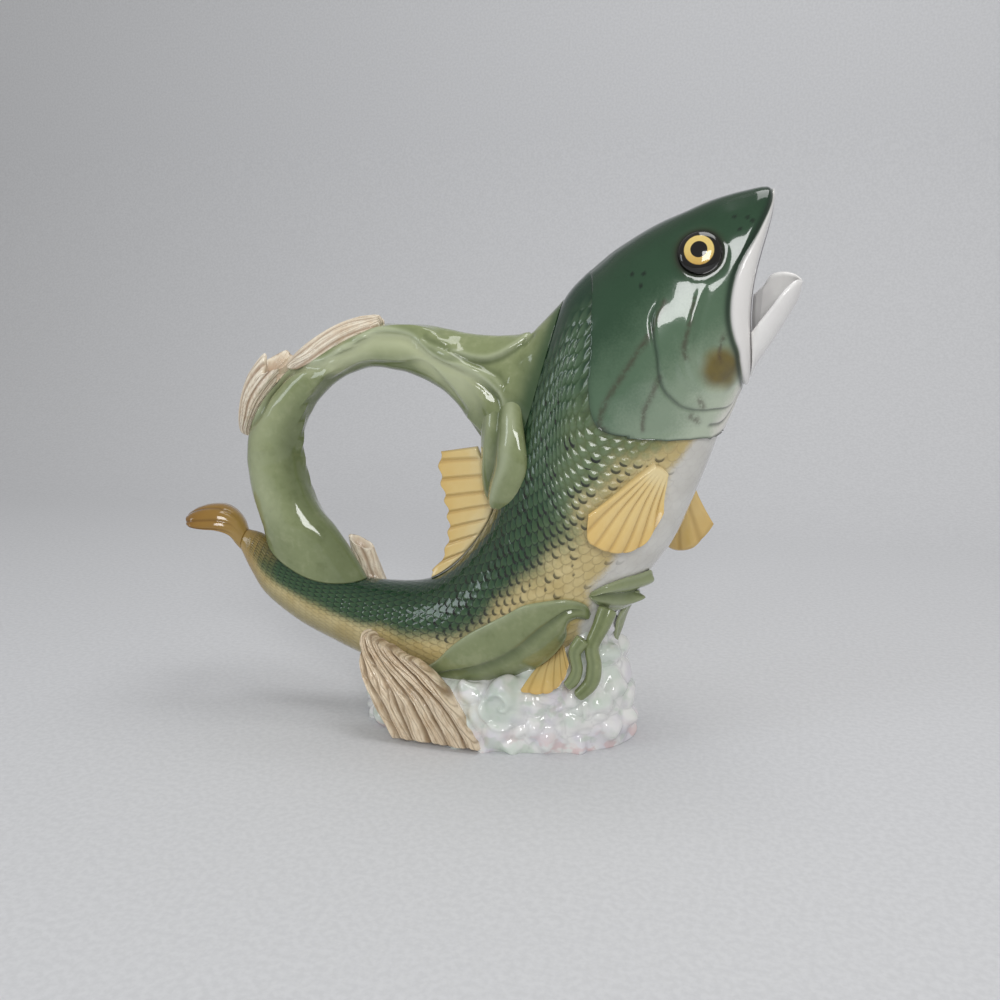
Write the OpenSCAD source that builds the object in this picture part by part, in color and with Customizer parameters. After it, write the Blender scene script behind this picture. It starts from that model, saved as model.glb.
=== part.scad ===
// Ceramic pitcher in the shape of a leaping bass, with a kelp handle, on a base of sea foam.
// The fish faces +X and its right side faces -Y. The foot stands on the plane z = 0.

/* [Overall size] */
// Length from the tip of the tail to the tip of the lower jaw
length = 338; // [310:1:380]
// Height from the foot to the snout
height = 287; // [260:1:315]
// Width of the fish across its belly
belly_w = 67; // [60:1:74]

/* [Casting] */
// Thickness of the cast wall
wall = 6; // [5:0.5:7]
// Slip seam between two pieces that are luted together
seam = 0.3; // [0.25:0.05:0.4]

/* [Head] */
// Step at the edge of the gill cover
gill_step = 2.4; // [1.2:0.2:3]
// Thickness of the rim round the mouth
rim_t = 4.5; // [3.5:0.5:5]
// Thickness of the lower jaw
jaw_t = 5; // [4:0.5:5.5]
// Diameter of an eye over its dark ring
eye_d = 19.6; // [16:0.2:22]
// How far an eye stands out of the cheek
eye_rise = 4.2; // [3:0.2:5]

/* [Fins] */
// Thickness of a fin at its root
fin_t = 4.4; // [3.6:0.2:5.2]
// Height of the rays on a fin
ray_h = 0.9; // [0.5:0.1:1.2]
// How far the tip of the right pectoral fin stands off the flank
right_spread = 5; // [3:0.5:8]
// How far the tip of the left pectoral fin stands off the flank
left_spread = 17; // [12:0.5:19]
// How far the tips of the pelvic fins stand off the belly
pelvic_spread = 21; // [18:0.5:23]

/* [Handle] */
// Width of the kelp ring from side to side
ring_w = 25; // [20:0.5:29]
// Height of the fold that winds along the ring
fold_h = 2.6; // [1.5:0.1:3.5]
// Thickness of the driftwood that lies on the ring
bark_t = 8; // [6:0.5:9]
// How far the broken twig stands off the ring
twig_rise = 19; // [15:0.5:21]
// Height of the knot that stands on the back
knot_h = 28; // [22:0.5:30]

/* [Leaves] */
// Thickness of a kelp leaf
leaf_t = 4.6; // [3.8:0.2:5.4]
// How far the tip of the hanging leaf stands off the belly
hanging_lift = 11; // [8:0.5:13]
// Thickness of the lobe that hangs from the handle
lobe_t = 8.5; // [7:0.5:10]
// Radius of the long kelp stem
stem_r = 3.8; // [3:0.2:4.4]
// Radius of the short kelp stem
short_stem_r = 2.2; // [1.8:0.1:2.6]

/* [Base] */
// Width of the foam base from front to back
base_w = 80; // [74:1:88]
// Height of the foam along the sides of the belly
foam_h = 34; // [31:1:37]
// Depth of the lumps on the foam
lump_h = 4; // [2:0.5:5]
// Thickness of one strand of the driftwood on the base
strand_t = 11; // [9:0.5:12]

/* [Hidden] */

// Length that the tables are shares of: the fish covers a little less than all of it
cover_share = 0.9855;
table_l = length / cover_share;

glaze_dark_green = [0.16, 0.35, 0.25];
glaze_white = [0.93, 0.93, 0.92];
glaze_yellow = [0.90, 0.74, 0.42];
glaze_ochre = [0.72, 0.54, 0.25];
glaze_celadon = [0.62, 0.70, 0.52];
glaze_driftwood = [0.80, 0.72, 0.62];
glaze_black = [0.10, 0.09, 0.08];

// Sections of the trunk from the tail to the gill cover. Each row holds the top and the low point
// as shares of table_l and height, the half width as a share of belly_w, and how far the side of
// the section lies behind those points, as shares of table_l and height.
trunk_shares = [
    [-0.443, 0.355, -0.455, 0.310, 0.082, 0, 0],
    [-0.417, 0.347, -0.436, 0.268, 0.119, 0, 0],
    [-0.385, 0.321, -0.408, 0.221, 0.157, 0, 0],
    [-0.332, 0.294, -0.350, 0.174, 0.201, 0, 0],
    [-0.274, 0.277, -0.286, 0.141, 0.246, 0, 0],
    [-0.204, 0.269, -0.216, 0.111, 0.299, 0, 0],
    [-0.134, 0.275, -0.122, 0.084, 0.358, 0, 0],
    [-0.087, 0.302, -0.023, 0.078, 0.418, 0.002, -0.006],
    [-0.046, 0.352, 0.076, 0.129, 0.463, 0.003, -0.016],
    [-0.013, 0.415, 0.157, 0.199, 0.493, -0.005, -0.029],
    [0.009, 0.495, 0.222, 0.303, 0.500, -0.013, -0.047],
    [0.033, 0.598, 0.274, 0.395, 0.493, -0.030, -0.074],
    [0.060, 0.708, 0.303, 0.484, 0.485, -0.053, -0.099],
    [0.099, 0.814, 0.324, 0.556, 0.470, -0.076, -0.115],
    [0.131, 0.859, 0.334, 0.598, 0.455, -0.082, -0.122],
];
// The same from the edge of the gill cover to the rim of the mouth
head_shares = [
    [0.133, 0.861, 0.335, 0.600, 0.455, -0.080, -0.120],
    [0.175, 0.901, 0.345, 0.624, 0.463, -0.041, -0.059],
    [0.230, 0.940, 0.353, 0.641, 0.425, -0.015, -0.021],
    [0.306, 0.979, 0.359, 0.657, 0.373, -0.017, -0.021],
    [0.362, 0.996, 0.362, 0.665, 0.336, -0.025, -0.023],
    [0.379, 0.999, 0.364, 0.671, 0.325, -0.028, -0.024],
    [0.389, 0.997, 0.369, 0.675, 0.291, -0.020, -0.014],
    [0.394, 0.988, 0.372, 0.681, 0.231, -0.013, -0.005],
];
// The section of the trunk where the gill cover starts, and the one at the rim of the mouth
gill = len(trunk_shares) - 1;
mouth = gill + len(head_shares) - 1;
// The section where the cavity ends, towards the tail
cavity_end = 5;
// How sharply the sections are drawn back at their sides
lag_power = 4;
// How many sections the raised edge of the gill cover takes to die out, and the turn in degrees at
// which it ends towards the top of the head, and over which it fades there
cover_run = 2.5;
cover_end_turn = 75;
cover_fade_turn = 30;
// Points round one section, and sections drawn for each row of a table
fish_sides = 28;
fish_steps = 2;
// Stands for the last place before the step of the gill cover
before_gill = gill - 0.001;

// Sections of the tail fin, in the same form as the trunk's
tail_shares = [
    [-0.444, 0.362, -0.457, 0.305, 0.085, 0, 0],
    [-0.462, 0.388, -0.469, 0.338, 0.125, 0, -0.010],
    [-0.484, 0.402, -0.487, 0.358, 0.175, 0, -0.018],
    [-0.508, 0.403, -0.508, 0.365, 0.215, 0, -0.020],
    [-0.530, 0.396, -0.528, 0.369, 0.230, 0.003, -0.016],
    [-0.546, 0.384, -0.543, 0.373, 0.200, 0.008, -0.010],
];
tail_sides = 24;
// Rays on each side of the tail fin
tail_rays = 6;

// Sections of the kelp ring from the back of the fish to its neck. Each row holds the outer and the
// inner point as shares of table_l and height, the half width as a share of ring_w, and the turn of
// the fold round the section in degrees.
ring_shares = [
    [-0.413, 0.372, -0.268, 0.350, 0.52, 200],
    [-0.425, 0.415, -0.298, 0.386, 0.50, 215],
    [-0.434, 0.480, -0.327, 0.438, 0.49, 235],
    [-0.432, 0.545, -0.341, 0.510, 0.48, 260],
    [-0.408, 0.600, -0.331, 0.572, 0.47, 290],
    [-0.370, 0.655, -0.303, 0.624, 0.46, 320],
    [-0.317, 0.706, -0.262, 0.665, 0.46, 335],
    [-0.250, 0.750, -0.215, 0.687, 0.47, 370],
    [-0.180, 0.770, -0.169, 0.684, 0.48, 400],
    [-0.115, 0.767, -0.123, 0.669, 0.50, 410],
    [-0.057, 0.757, -0.082, 0.640, 0.53, 375],
    [-0.005, 0.752, -0.046, 0.592, 0.58, 355],
    [0.030, 0.755, -0.022, 0.552, 0.62, 340],
    [0.055, 0.762, -0.006, 0.528, 0.68, 330],
];
ring_sides = 18;
ring_steps = 2;
// How far round a section the fold spreads, in degrees
fold_spread = 32;
// Seats of the ring on the fish: the place along it, half the reach along it, and half the turn
tail_seat_shares = [2.95, 1.7, 46];
neck_seat_shares = [11.62, 1.38, 34];
// Rings drawn on a seat, as shares of its full size, and how much wider a cutter is there for each
// millimetre it is grown
seat_shares = [1, 0.7, 0.4, 0.12];
seat_margin_share = 0.04;

// Places on the fish, each as the section and the turn round it in degrees
eye_shares = [16.8, 33];
eye_ring_shares = [0.25, 0.65, 1];
eye_dome_shares = [0.97, 0.88, 0.68, 0.45, 0.2];
eye_edge_share = 0.25;
eye_sides = 20;
// Rounds of the search for a place on the skin, and its step along the sections
search_rounds = 4;
search_step = 0.1;
// Edges of the pieces that lie on the fish, from the first end to the last. Each row holds the
// section and the turn at one edge, and then at the other edge.
front_leaf_shares = [
    [6.10, -36, 6.05, -40],
    [6.45, -20, 6.35, -52],
    [6.90, -3, 6.80, -62],
    [7.40, 6, 7.35, -67],
    [8.10, 7, 7.85, -58],
    [8.80, 2, 8.35, -47],
    [9.30, -8, 8.80, -35],
    [9.58, -22, 9.18, -28],
    [9.58, -35, 9.32, -34],
    [9.40, -45, 9.28, -41],
];
collar_leaf_shares = [
    [9.85, -33, 9.78, -33],
    [10.05, -40, 9.78, -40],
    [10.25, -52, 9.78, -52],
    [10.38, -66, 9.80, -66],
    [10.44, -82, 9.86, -82],
    [10.40, -98, 9.86, -98],
    [10.20, -112, 9.84, -112],
    [9.95, -122, 9.88, -122],
];
hanging_leaf_shares = [
    [9.72, -84, 9.72, -104],
    [9.58, -80, 9.58, -108],
    [9.40, -80, 9.40, -108],
    [9.20, -86, 9.20, -102],
    [9.10, -92, 9.10, -96],
];
// The lobe that hangs from the handle, from its top down. Each row holds the middle as shares of
// table_l, belly_w and height, then the reach to its front edge as shares of table_l and belly_w, and
// half its thickness as a share of lobe_t.
handle_leaf_shares = [
    [0.023, -0.231, 0.662, 0.006, -0.007, 0.35],
    [0.019, -0.239, 0.641, 0.017, -0.030, 0.59],
    [0.015, -0.239, 0.603, 0.029, -0.075, 0.76],
    [0.017, -0.231, 0.561, 0.039, -0.134, 0.82],
    [0.019, -0.231, 0.523, 0.041, -0.149, 0.82],
    [0.016, -0.224, 0.491, 0.037, -0.142, 0.76],
    [0.012, -0.209, 0.460, 0.029, -0.112, 0.65],
    [0.009, -0.201, 0.443, 0.015, -0.060, 0.41],
];
lobe_sides = 16;
// The root and the free edge of a fin that lies on the fish. Each row holds the section and the
// turn at the root, then at the free edge, and how far that edge stands off as a share of the spread.
right_pectoral_shares = [
    [12.80, -37, 11.70, -12, 1],
    [12.74, -39, 11.15, -13, 1],
    [12.68, -41, 10.98, -21, 1],
    [12.62, -43, 10.88, -31, 1],
    [12.54, -45, 10.90, -40, 1],
    [12.46, -47, 11.10, -48, 1],
    [12.40, -49, 11.70, -51, 1],
];
left_pectoral_shares = [
    [12.95, -46, 12.40, -30, 1],
    [12.86, -47, 11.75, -25, 1],
    [12.76, -48, 11.15, -28, 1],
    [12.64, -50, 10.72, -37, 1],
    [12.52, -52, 10.60, -49, 1],
    [12.42, -54, 10.85, -60, 1],
    [12.34, -56, 11.50, -66, 1],
];
pelvic_shares = [
    [9.00, -42, 8.95, -36, 0.70],
    [8.85, -45, 8.70, -40, 0.85],
    [8.70, -48, 8.45, -43, 0.95],
    [8.55, -51, 8.20, -44, 1],
    [8.40, -54, 8.00, -40, 0.92],
    [8.28, -57, 7.85, -34, 0.76],
];
pectoral_rays = 7;
pelvic_rays = 6;
// The dorsal fin: the place of its root on the back, then its free edge as shares of table_l and
// height. The last rows of the root leave the back and pass under the handle.
dorsal_root_shares = [6.35, 6.95, 7.6, 8.2, 8.75, 9.2, 9.5, 9.7];
dorsal_edge_shares = [
    [-0.112, 0.298],
    [-0.094, 0.330],
    [-0.085, 0.373],
    [-0.086, 0.412],
    [-0.091, 0.445],
    [-0.097, 0.480],
    [-0.099, 0.508],
    [-0.097, 0.533],
];
dorsal_rays = 9;
// The root follows the back as far as this share of the fin, and then leans to this last corner
dorsal_leave_share = 0.86;
dorsal_corner_shares = [-0.036, 0.540];
fin_rows = 4;
// How much thinner a fin is at its free edge
fin_taper_share = 0.45;

// Edges of the pieces that lie on the ring: the section and the turn at each edge
ring_driftwood_shares = [
    [7.88, 66, 7.88, 108],
    [7.70, 46, 7.70, 124],
    [7.25, 36, 7.25, 134],
    [6.75, 30, 6.75, 138],
    [6.20, 26, 6.20, 136],
    [5.80, 34, 5.80, 130],
    [5.48, 52, 5.48, 116],
];
ring_twig_shares = [
    [3.05, 82, 3.05, 94],
    [3.60, 62, 3.60, 110],
    [4.20, 54, 4.20, 116],
    [4.80, 56, 4.80, 112],
    [5.35, 66, 5.35, 102],
];
// The knot on the back: its seat, and how far its top leans as a share of its height
knot_seat_shares = [4.58, 0.40, 134, 22];
knot_ring_shares = [0.3, 0.7];
knot_lean_share = 0.42;
knot_top_share = 0.6;
knot_sides = 14;
knot_steps = 4;

// The lower jaw: its near rim, keel and far rim as shares of table_l and height, and its half width
// as a share of belly_w
jaw_shares = [
    [0.381, 0.781, 0.379, 0.704, 0.384, 0.840, 0.215],
    [0.396, 0.805, 0.399, 0.742, 0.394, 0.858, 0.212],
    [0.412, 0.832, 0.417, 0.780, 0.410, 0.863, 0.200],
    [0.427, 0.848, 0.429, 0.807, 0.426, 0.859, 0.165],
    [0.437, 0.847, 0.435, 0.822, 0.436, 0.850, 0.090],
];
// Turn round the rim of the mouth where the near and the far edge of the jaw meet it
jaw_near_turn = -28;
jaw_far_turn = -178;
jaw_columns = 16;
// How much of the jaw's thickness is left at its lip
jaw_lip_share = 0.8;

// The base: its middle and half its length as shares of table_l, and the height of the column under
// the belly as a share of height
base_middle_share = -0.010;
base_reach_share = 0.222;
column_share = 0.292;
// The foam stands in rows of round lumps, each row shifted by half a lump
foam_lumps = 13;
foam_rows = 3;
lump_steps = 4;
foam_taper_share = 0.13;
// How sharply the foam rises to its column under the belly
column_power = 3;
// The driftwood on the base: first and last strand as shares of table_l, base_w and height
strand_top_shares = [[-0.192, -0.275, 0.207], [-0.170, -0.325, 0.214]];
strand_mid_shares = [[-0.180, -0.425, 0.125], [-0.080, -0.455, 0.135]];
strand_low_shares = [[-0.126, -0.455, 0.020], [-0.018, -0.500, 0.020]];
strands = 7;
// Radius of each strand at its three points, and how far the single strands end above or below
strand_radius_shares = [0.36, 0.5, 0.46];
strand_size_shares = [0.85, 1.1, 0.9, 1.15, 0.95, 1.1, 0.8];
strand_end_shares = [-0.012, 0.006, -0.02, 0.012, -0.004, 0.008, -0.016];
// The stems as shares of table_l, belly_w and height
long_stem_shares = [
    [0.186, -0.358, 0.278],
    [0.178, -0.412, 0.250],
    [0.166, -0.460, 0.212],
    [0.170, -0.472, 0.178],
    [0.166, -0.484, 0.145],
    [0.146, -0.519, 0.118],
];
short_stem_shares = [
    [0.154, -0.472, 0.226],
    [0.142, -0.501, 0.202],
    [0.146, -0.516, 0.173],
    [0.141, -0.525, 0.152],
    [0.131, -0.537, 0.138],
];
stem_steps = 2;
stem_taper_share = 0.3;
bead_sides = 8;
// How many seams deep the cutters reach into the fish, and off the face of a fin, and how much wider
// they are on each side
cutter_depth = 10;
cutter_margin_share = 0.012;
// Rows drawn for each row of a leaf's table, and how late the twig leaves the ring
strip_steps = 2;
twig_bend = 1.5;
// Height of the crown of a leaf or a log at its ends, and the thickness along the edges
crown_end_share = 0.6;
leaf_edge_share = 0.33;
bark_edge_share = 0.25;

// Smooth curve through the rows of a table, at a place that is counted in rows
function row_at(rows, i) = rows[max(0, min(len(rows) - 1, i))];
function along(rows, t) =
    let (i = max(0, min(len(rows) - 2, floor(t))),
         f = t - i,
         a = row_at(rows, i - 1),
         b = rows[i],
         c = rows[i + 1],
         d = row_at(rows, i + 2))
    (2 * b + (c - a) * f + (2 * a - 5 * b + 4 * c - d) * f ^ 2 + (3 * b - a - 3 * c + d) * f ^ 3) / 2;

function mix(a, b, f) = a + (b - a) * f;
function flat(rows) = [for (row = rows) each row];
function mean(points) = [for (p = points) 1] * points / len(points);
function in_box(share, w) = [share[0] * table_l, share[1] * w, share[2] * height];

// A closed section through an upper and a lower point, with its sides drawn back
function section(top, low, side, lag, turn) =
    let (half = norm(top - low) / 2,
         q = (top + low) / 2 + (top - low) / 2 * sin(turn) + lag * abs(cos(turn)) ^ lag_power)
    [q[0], -side * cos(turn), q[1]];

function grown_section(row, unit_w, turn, grow) =
    let (top = [row[0] * table_l, row[1] * height],
         low = [row[2] * table_l, row[3] * height],
         up = (top - low) / norm(top - low))
    section(top + up * grow, low - up * grow, row[4] * unit_w + grow,
            [row[5] * table_l, row[6] * height], turn);

// The raised edge of the gill cover, which fades at the top of the head and towards the mouth
function upward(turn) = turn > 90 ? 180 - turn : turn;
function cover(t, turn) =
    t < gill ? 0
    : gill_step * max(0, 1 - (t - gill) / cover_run)
      * max(0, min(1, (cover_end_turn - upward(turn)) / cover_fade_turn));

// A point on the skin of the fish at section t, raised by a height
function fish_row(t) = t < gill ? along(trunk_shares, t) : along(head_shares, t - gill);
function skin(t, turn, rise = 0) = grown_section(fish_row(t), belly_w, turn, rise + cover(t, turn));

// A point on the kelp ring at section t, raised by a height
function ring_point(t, turn, rise = 0) =
    let (row = along(ring_shares, t),
         gap = abs((turn - row[5] + 540) % 360 - 180),
         fold = fold_h * max(0, 1 - gap / fold_spread) ^ 2,
         outer = [row[0] * table_l, row[1] * height],
         inner = [row[2] * table_l, row[3] * height],
         up = (outer - inner) / norm(outer - inner),
         grow = rise + fold)
    section(outer + up * grow, inner - up * grow, row[4] * ring_w + grow, [0, 0], turn);

on_skin = function (t, turn, rise) skin(t, turn, rise);
on_ring = function (t, turn, rise) ring_point(t, turn, rise);

function quad(a, b, c, d) = [[a, b, c], [a, c, d]];

// Faces turned so that their fronts look outward
function enclosed(points, faces) =
    [for (f = faces) 1] * [for (f = faces) cross(points[f[0]], points[f[1]]) * points[f[2]]];
function outward(points, faces) =
    enclosed(points, faces) > 0 ? [for (f = faces) [f[2], f[1], f[0]]] : faces;

// A tube through rings of points, closed by a fan at each end
module loft(rings) {
    n = len(rings);
    m = len(rings[0]);
    last = (n - 1) * m;
    faces = [
        for (i = [0 : n - 2], j = [0 : m - 1]) each
            let (a = i * m + j, b = i * m + (j + 1) % m)
            quad(a, a + m, b + m, b),
        for (j = [0 : m - 1]) [n * m, j, (j + 1) % m],
        for (j = [0 : m - 1]) [n * m + 1, last + (j + 1) % m, last + j]
    ];
    points = concat(flat(rings), [mean(rings[0]), mean(rings[n - 1])]);
    polyhedron(points, outward(points, faces));
}

// A plate between two grids of points
module slab(top, bottom) {
    n = len(top);
    m = len(top[0]);
    k = n * m;
    last = k - m;
    faces = [
        for (i = [0 : n - 2], j = [0 : m - 2]) each
            let (a = i * m + j)
            concat(quad(a, a + m, a + m + 1, a + 1), quad(k + a, k + a + 1, k + a + m + 1, k + a + m)),
        for (j = [0 : m - 2]) each
            concat(quad(j + 1, k + j + 1, k + j, j),
                   quad(last + j, k + last + j, k + last + j + 1, last + j + 1)),
        for (i = [0 : n - 2]) each
            let (a = i * m, b = a + m - 1)
            concat(quad(a, k + a, k + a + m, a + m), quad(b + m, k + b + m, k + b, b))
    ];
    points = concat(flat(top), flat(bottom));
    polyhedron(points, outward(points, faces));
}

// A share across a piece, carried past both edges where the piece is grown into a cutter
function widened(v, spare) = spare > 0 ? mix(-cutter_margin_share, 1 + cutter_margin_share, v) : v;

// A piece that lies on a surface between two edges, with its crown along the middle. Its tip is
// lifted off the surface, and its underside by the given share of that.
module strip(form, edges, columns, thick, edge_t, lift = 0, bend = 2, under = 1, spare = 0) {
    n = (len(edges) - 1) * strip_steps;
    function place(i, v) =
        let (row = along(edges, i / strip_steps), w = widened(v, spare))
        [mix(row[0], row[2], w), mix(row[1], row[3], w)];
    function crown(i, v) =
        edge_t + (thick - edge_t) * sin(180 * v) * mix(crown_end_share, 1, sin(180 * i / n));
    function point(i, j, rise) =
        let (p = place(i, j / columns))
        form(p[0], p[1], rise);
    top = [for (i = [0 : n]) [for (j = [0 : columns])
        point(i, j, seam + lift * (i / n) ^ bend + crown(i, j / columns) + spare)]];
    bottom = [for (i = [0 : n]) [for (j = [0 : columns])
        point(i, j, seam + under * lift * (i / n) ^ bend - spare * cutter_depth)]];
    slab(top, bottom);
}

// A fin that lies on the fish and stands off it towards its free edge
module flank_fin(edges, rays, spread, spare = 0) {
    columns = 2 * rays;
    function point(u, v, rise) =
        let (row = along(edges, widened(v, spare) * (len(edges) - 1)))
        skin(mix(row[0], row[2], u), mix(row[1], row[3], u), rise);
    function off(u, v) = spread * along(edges, v * (len(edges) - 1))[4] * u ^ 2;
    function thick(u, v) = fin_t * (1 - fin_taper_share * u) + ray_h * abs(sin(180 * rays * v)) * u;
    top = [for (i = [0 : fin_rows]) [for (j = [0 : columns])
        let (u = i / fin_rows, v = j / columns)
        point(u, v, seam + off(u, v) + thick(u, v) + spare * cutter_depth)]];
    bottom = [for (i = [0 : fin_rows]) [for (j = [0 : columns])
        let (u = i / fin_rows, v = j / columns)
        point(u, v, seam + off(u, v) - spare * cutter_depth)]];
    slab(top, bottom);
}

function fish_ring(t, rise) = [for (j = [0 : fish_sides - 1]) skin(t, 360 * j / fish_sides, rise)];

// The places of the sections on the outside of the fish, with both sides of the gill step
outer_places = concat(
    [for (i = [0 : gill * fish_steps - 1]) i / fish_steps],
    [before_gill],
    [for (i = [0 : 4 * fish_steps]) gill + i / fish_steps],
    [for (i = [gill + 5 : mouth]) i]
);
inner_places = [for (i = [mouth - 1 : -1 : cavity_end]) if (i != gill + 4) i];

module fish_body() {
    color(glaze_dark_green)
        loft(concat(
            [for (t = outer_places) fish_ring(t, 0)],
            [fish_ring(mouth, -rim_t)],
            [for (t = inner_places) fish_ring(t, -wall)]
        ));
}

// The closed outside of the trunk, grown by the seam, which other pieces are cut to
module trunk_clear() {
    loft([for (i = [0 : gill * fish_steps - 1]) fish_ring(i / fish_steps, seam)]);
}

// The lower jaw, a scoop that carries on from the rim of the mouth
module lower_jaw() {
    rows = len(jaw_shares);
    function turn(v) = mix(jaw_near_turn, jaw_far_turn, v);
    function scoop(row, v, inset) =
        let (near = [row[0] * table_l, row[1] * height],
             keel = [row[2] * table_l, row[3] * height],
             far = [row[4] * table_l, row[5] * height],
             side = v < 0.5 ? near : far,
             bend = abs(cos(180 * v)),
             up = (near + far) / 2 - keel,
             low = keel + up / norm(up) * inset,
             q = low + (side - low) * (1 - sqrt(1 - bend ^ 2)))
        [q[0], -(row[6] * belly_w - inset) * cos(180 * v), q[1]];
    function rim(v, inset) = skin(mouth, turn(v), -inset * rim_t / jaw_t) + [seam, 0, 0];
    function grid(inset) = [for (i = [0 : rows]) [for (j = [0 : jaw_columns])
        let (v = j / jaw_columns)
        i == 0 ? rim(v, inset) : scoop(jaw_shares[i - 1], v, inset * (i == rows ? jaw_lip_share : 1))]];
    color(glaze_white)
        slab(grid(jaw_t), grid(0));
}

// The place whose point on the skin lies x along e and y along f from the middle
function closer(place, middle, x, y, e, f, along_t, skew, along_a, rounds) =
    let (d = skin(place[0], place[1]) - middle,
         turn = (y - d * f) / along_a,
         t = (x - d * e - turn * skew) / along_t,
         next = [place[0] + t, place[1] + turn])
    rounds == 1 ? next : closer(next, middle, x, y, e, f, along_t, skew, along_a, rounds - 1);

// A point near a place on the skin, measured along the fish and across it
function near_skin(place, x, y, rise) =
    let (t = place[0],
         turn = place[1],
         along_t = (skin(t + search_step, turn) - skin(t - search_step, turn)) / (2 * search_step),
         along_a = (skin(t, turn + 1) - skin(t, turn - 1)) / 2,
         e = along_t / norm(along_t),
         side = along_a - e * (along_a * e),
         f = side / norm(side),
         found = closer([t, turn], skin(t, turn), x, y, e, f, along_t * e, along_a * e, norm(side),
                        search_rounds))
    skin(found[0], found[1], rise);

// A domed eye that is seated on the cheek
module eye() {
    r = eye_d / 2;
    edge_t = eye_rise * eye_edge_share;
    function ring(share, rise) = [for (j = [0 : eye_sides - 1])
        near_skin(eye_shares, r * share * cos(360 * j / eye_sides),
                  r * share * sin(360 * j / eye_sides), rise)];
    loft(concat(
        [for (s = eye_ring_shares) ring(s, seam)],
        [for (s = eye_dome_shares) ring(s, seam + edge_t + (eye_rise - edge_t) * sqrt(1 - s ^ 2))]
    ));
}

module right_eye() {
    color(glaze_black)
        eye();
}

module left_eye() {
    color(glaze_black)
        mirror([0, 1, 0])
            eye();
}

module right_pectoral_fin() {
    color(glaze_yellow)
        flank_fin(right_pectoral_shares, pectoral_rays, right_spread);
}

module left_pectoral_fin() {
    color(glaze_yellow)
        mirror([0, 1, 0])
            flank_fin(left_pectoral_shares, pectoral_rays, left_spread);
}

module right_pelvic_fin() {
    color(glaze_yellow)
        flank_fin(pelvic_shares, pelvic_rays, pelvic_spread);
}

module left_pelvic_fin() {
    color(glaze_yellow)
        mirror([0, 1, 0])
            flank_fin(pelvic_shares, pelvic_rays, pelvic_spread);
}

// The dorsal fin stands on the back and its rays run out to the free edge
module dorsal_fin(spare = 0) {
    columns = 2 * dorsal_rays;
    n = len(dorsal_edge_shares) - 1;
    function root(v) =
        let (t = along([for (s = dorsal_root_shares) [s]], min(v, dorsal_leave_share) * n)[0],
             p = skin(t, 90, seam),
             corner = [dorsal_corner_shares[0] * table_l, 0, dorsal_corner_shares[1] * height],
             f = max(0, (v - dorsal_leave_share) / (1 - dorsal_leave_share)))
        mix(p, corner, f);
    function edge(v) =
        let (e = along(dorsal_edge_shares, v * n))
        [e[0] * table_l, 0, e[1] * height];
    function half(u, v) =
        fin_t / 2 * (1 - fin_taper_share * u) + ray_h * abs(sin(180 * dorsal_rays * v)) * u + spare;
    function grid(side) = [for (i = [0 : fin_rows]) [for (j = [0 : columns])
        let (u = i / fin_rows, v = j / columns)
        mix(root(v), edge(v), u) + [0, side * half(u, v), 0]]];
    color(glaze_yellow)
        slab(grid(1), grid(-1));
}

// The tail fin spreads to both sides and droops at its edges
module tail_fin() {
    rings = (len(tail_shares) - 1) * fish_steps;
    function ring(i) =
        let (row = along(tail_shares, i / fish_steps))
        [for (j = [0 : tail_sides - 1])
            let (turn = 360 * j / tail_sides,
                 rib = ray_h * i / rings * abs(sin(tail_rays * turn)))
            grown_section(row, belly_w, turn, rib)];
    color(glaze_ochre)
        loft([for (i = [0 : rings]) ring(i)]);
}

// The kelp ring, seated on the back near the tail and on the neck, or the cutter for its neighbours
module ring_form(spare = 0) {
    last = (len(ring_shares) - 1) * ring_steps;
    function ring(i) = [for (j = [0 : ring_sides - 1])
        ring_point(i / ring_steps, 360 * j / ring_sides, spare)];
    function seat(place, way, share) = [for (j = [0 : ring_sides - 1])
        let (turn = 360 * j / ring_sides, reach = share + spare * seat_margin_share)
        skin(place[0] + way * place[1] * reach * sin(turn), 90 - place[2] * reach * cos(turn),
             seam - spare)];
    loft(concat(
        [for (i = [len(seat_shares) - 1 : -1 : 0]) seat(tail_seat_shares, -1, seat_shares[i])],
        [for (i = [0 : last]) ring(i)],
        [for (s = seat_shares) seat(neck_seat_shares, 1, s)]
    ));
}

module ring_clear() {
    ring_form(seam);
}

module handle_ring() {
    color(glaze_celadon)
        ring_form();
}

// The lobe that hangs from the handle along the back, cut to the ring, the back and the dorsal fin
module handle_leaf() {
    rings = (len(handle_leaf_shares) - 1) * ring_steps;
    function ring(i) =
        let (row = along(handle_leaf_shares, i / ring_steps),
             reach = [row[3] * table_l, row[4] * belly_w, 0],
             out = cross([0, 0, 1], reach) / norm(reach) * row[5] * lobe_t)
        [for (j = [0 : lobe_sides - 1])
            let (turn = 360 * j / lobe_sides)
            in_box(row, belly_w) + reach * cos(turn) + out * sin(turn)];
    color(glaze_celadon)
        difference() {
            loft([for (i = [0 : rings]) ring(i)]);
            trunk_clear();
            ring_clear();
            dorsal_fin(seam);
        }
}

module ring_driftwood() {
    color(glaze_driftwood)
        strip(on_ring, ring_driftwood_shares, 10, bark_t, bark_t * bark_edge_share);
}

module ring_twig() {
    color(glaze_driftwood)
        strip(on_ring, ring_twig_shares, 6, bark_t, bark_t * bark_edge_share, twig_rise - bark_t,
            twig_bend, under = 0);
}

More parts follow.
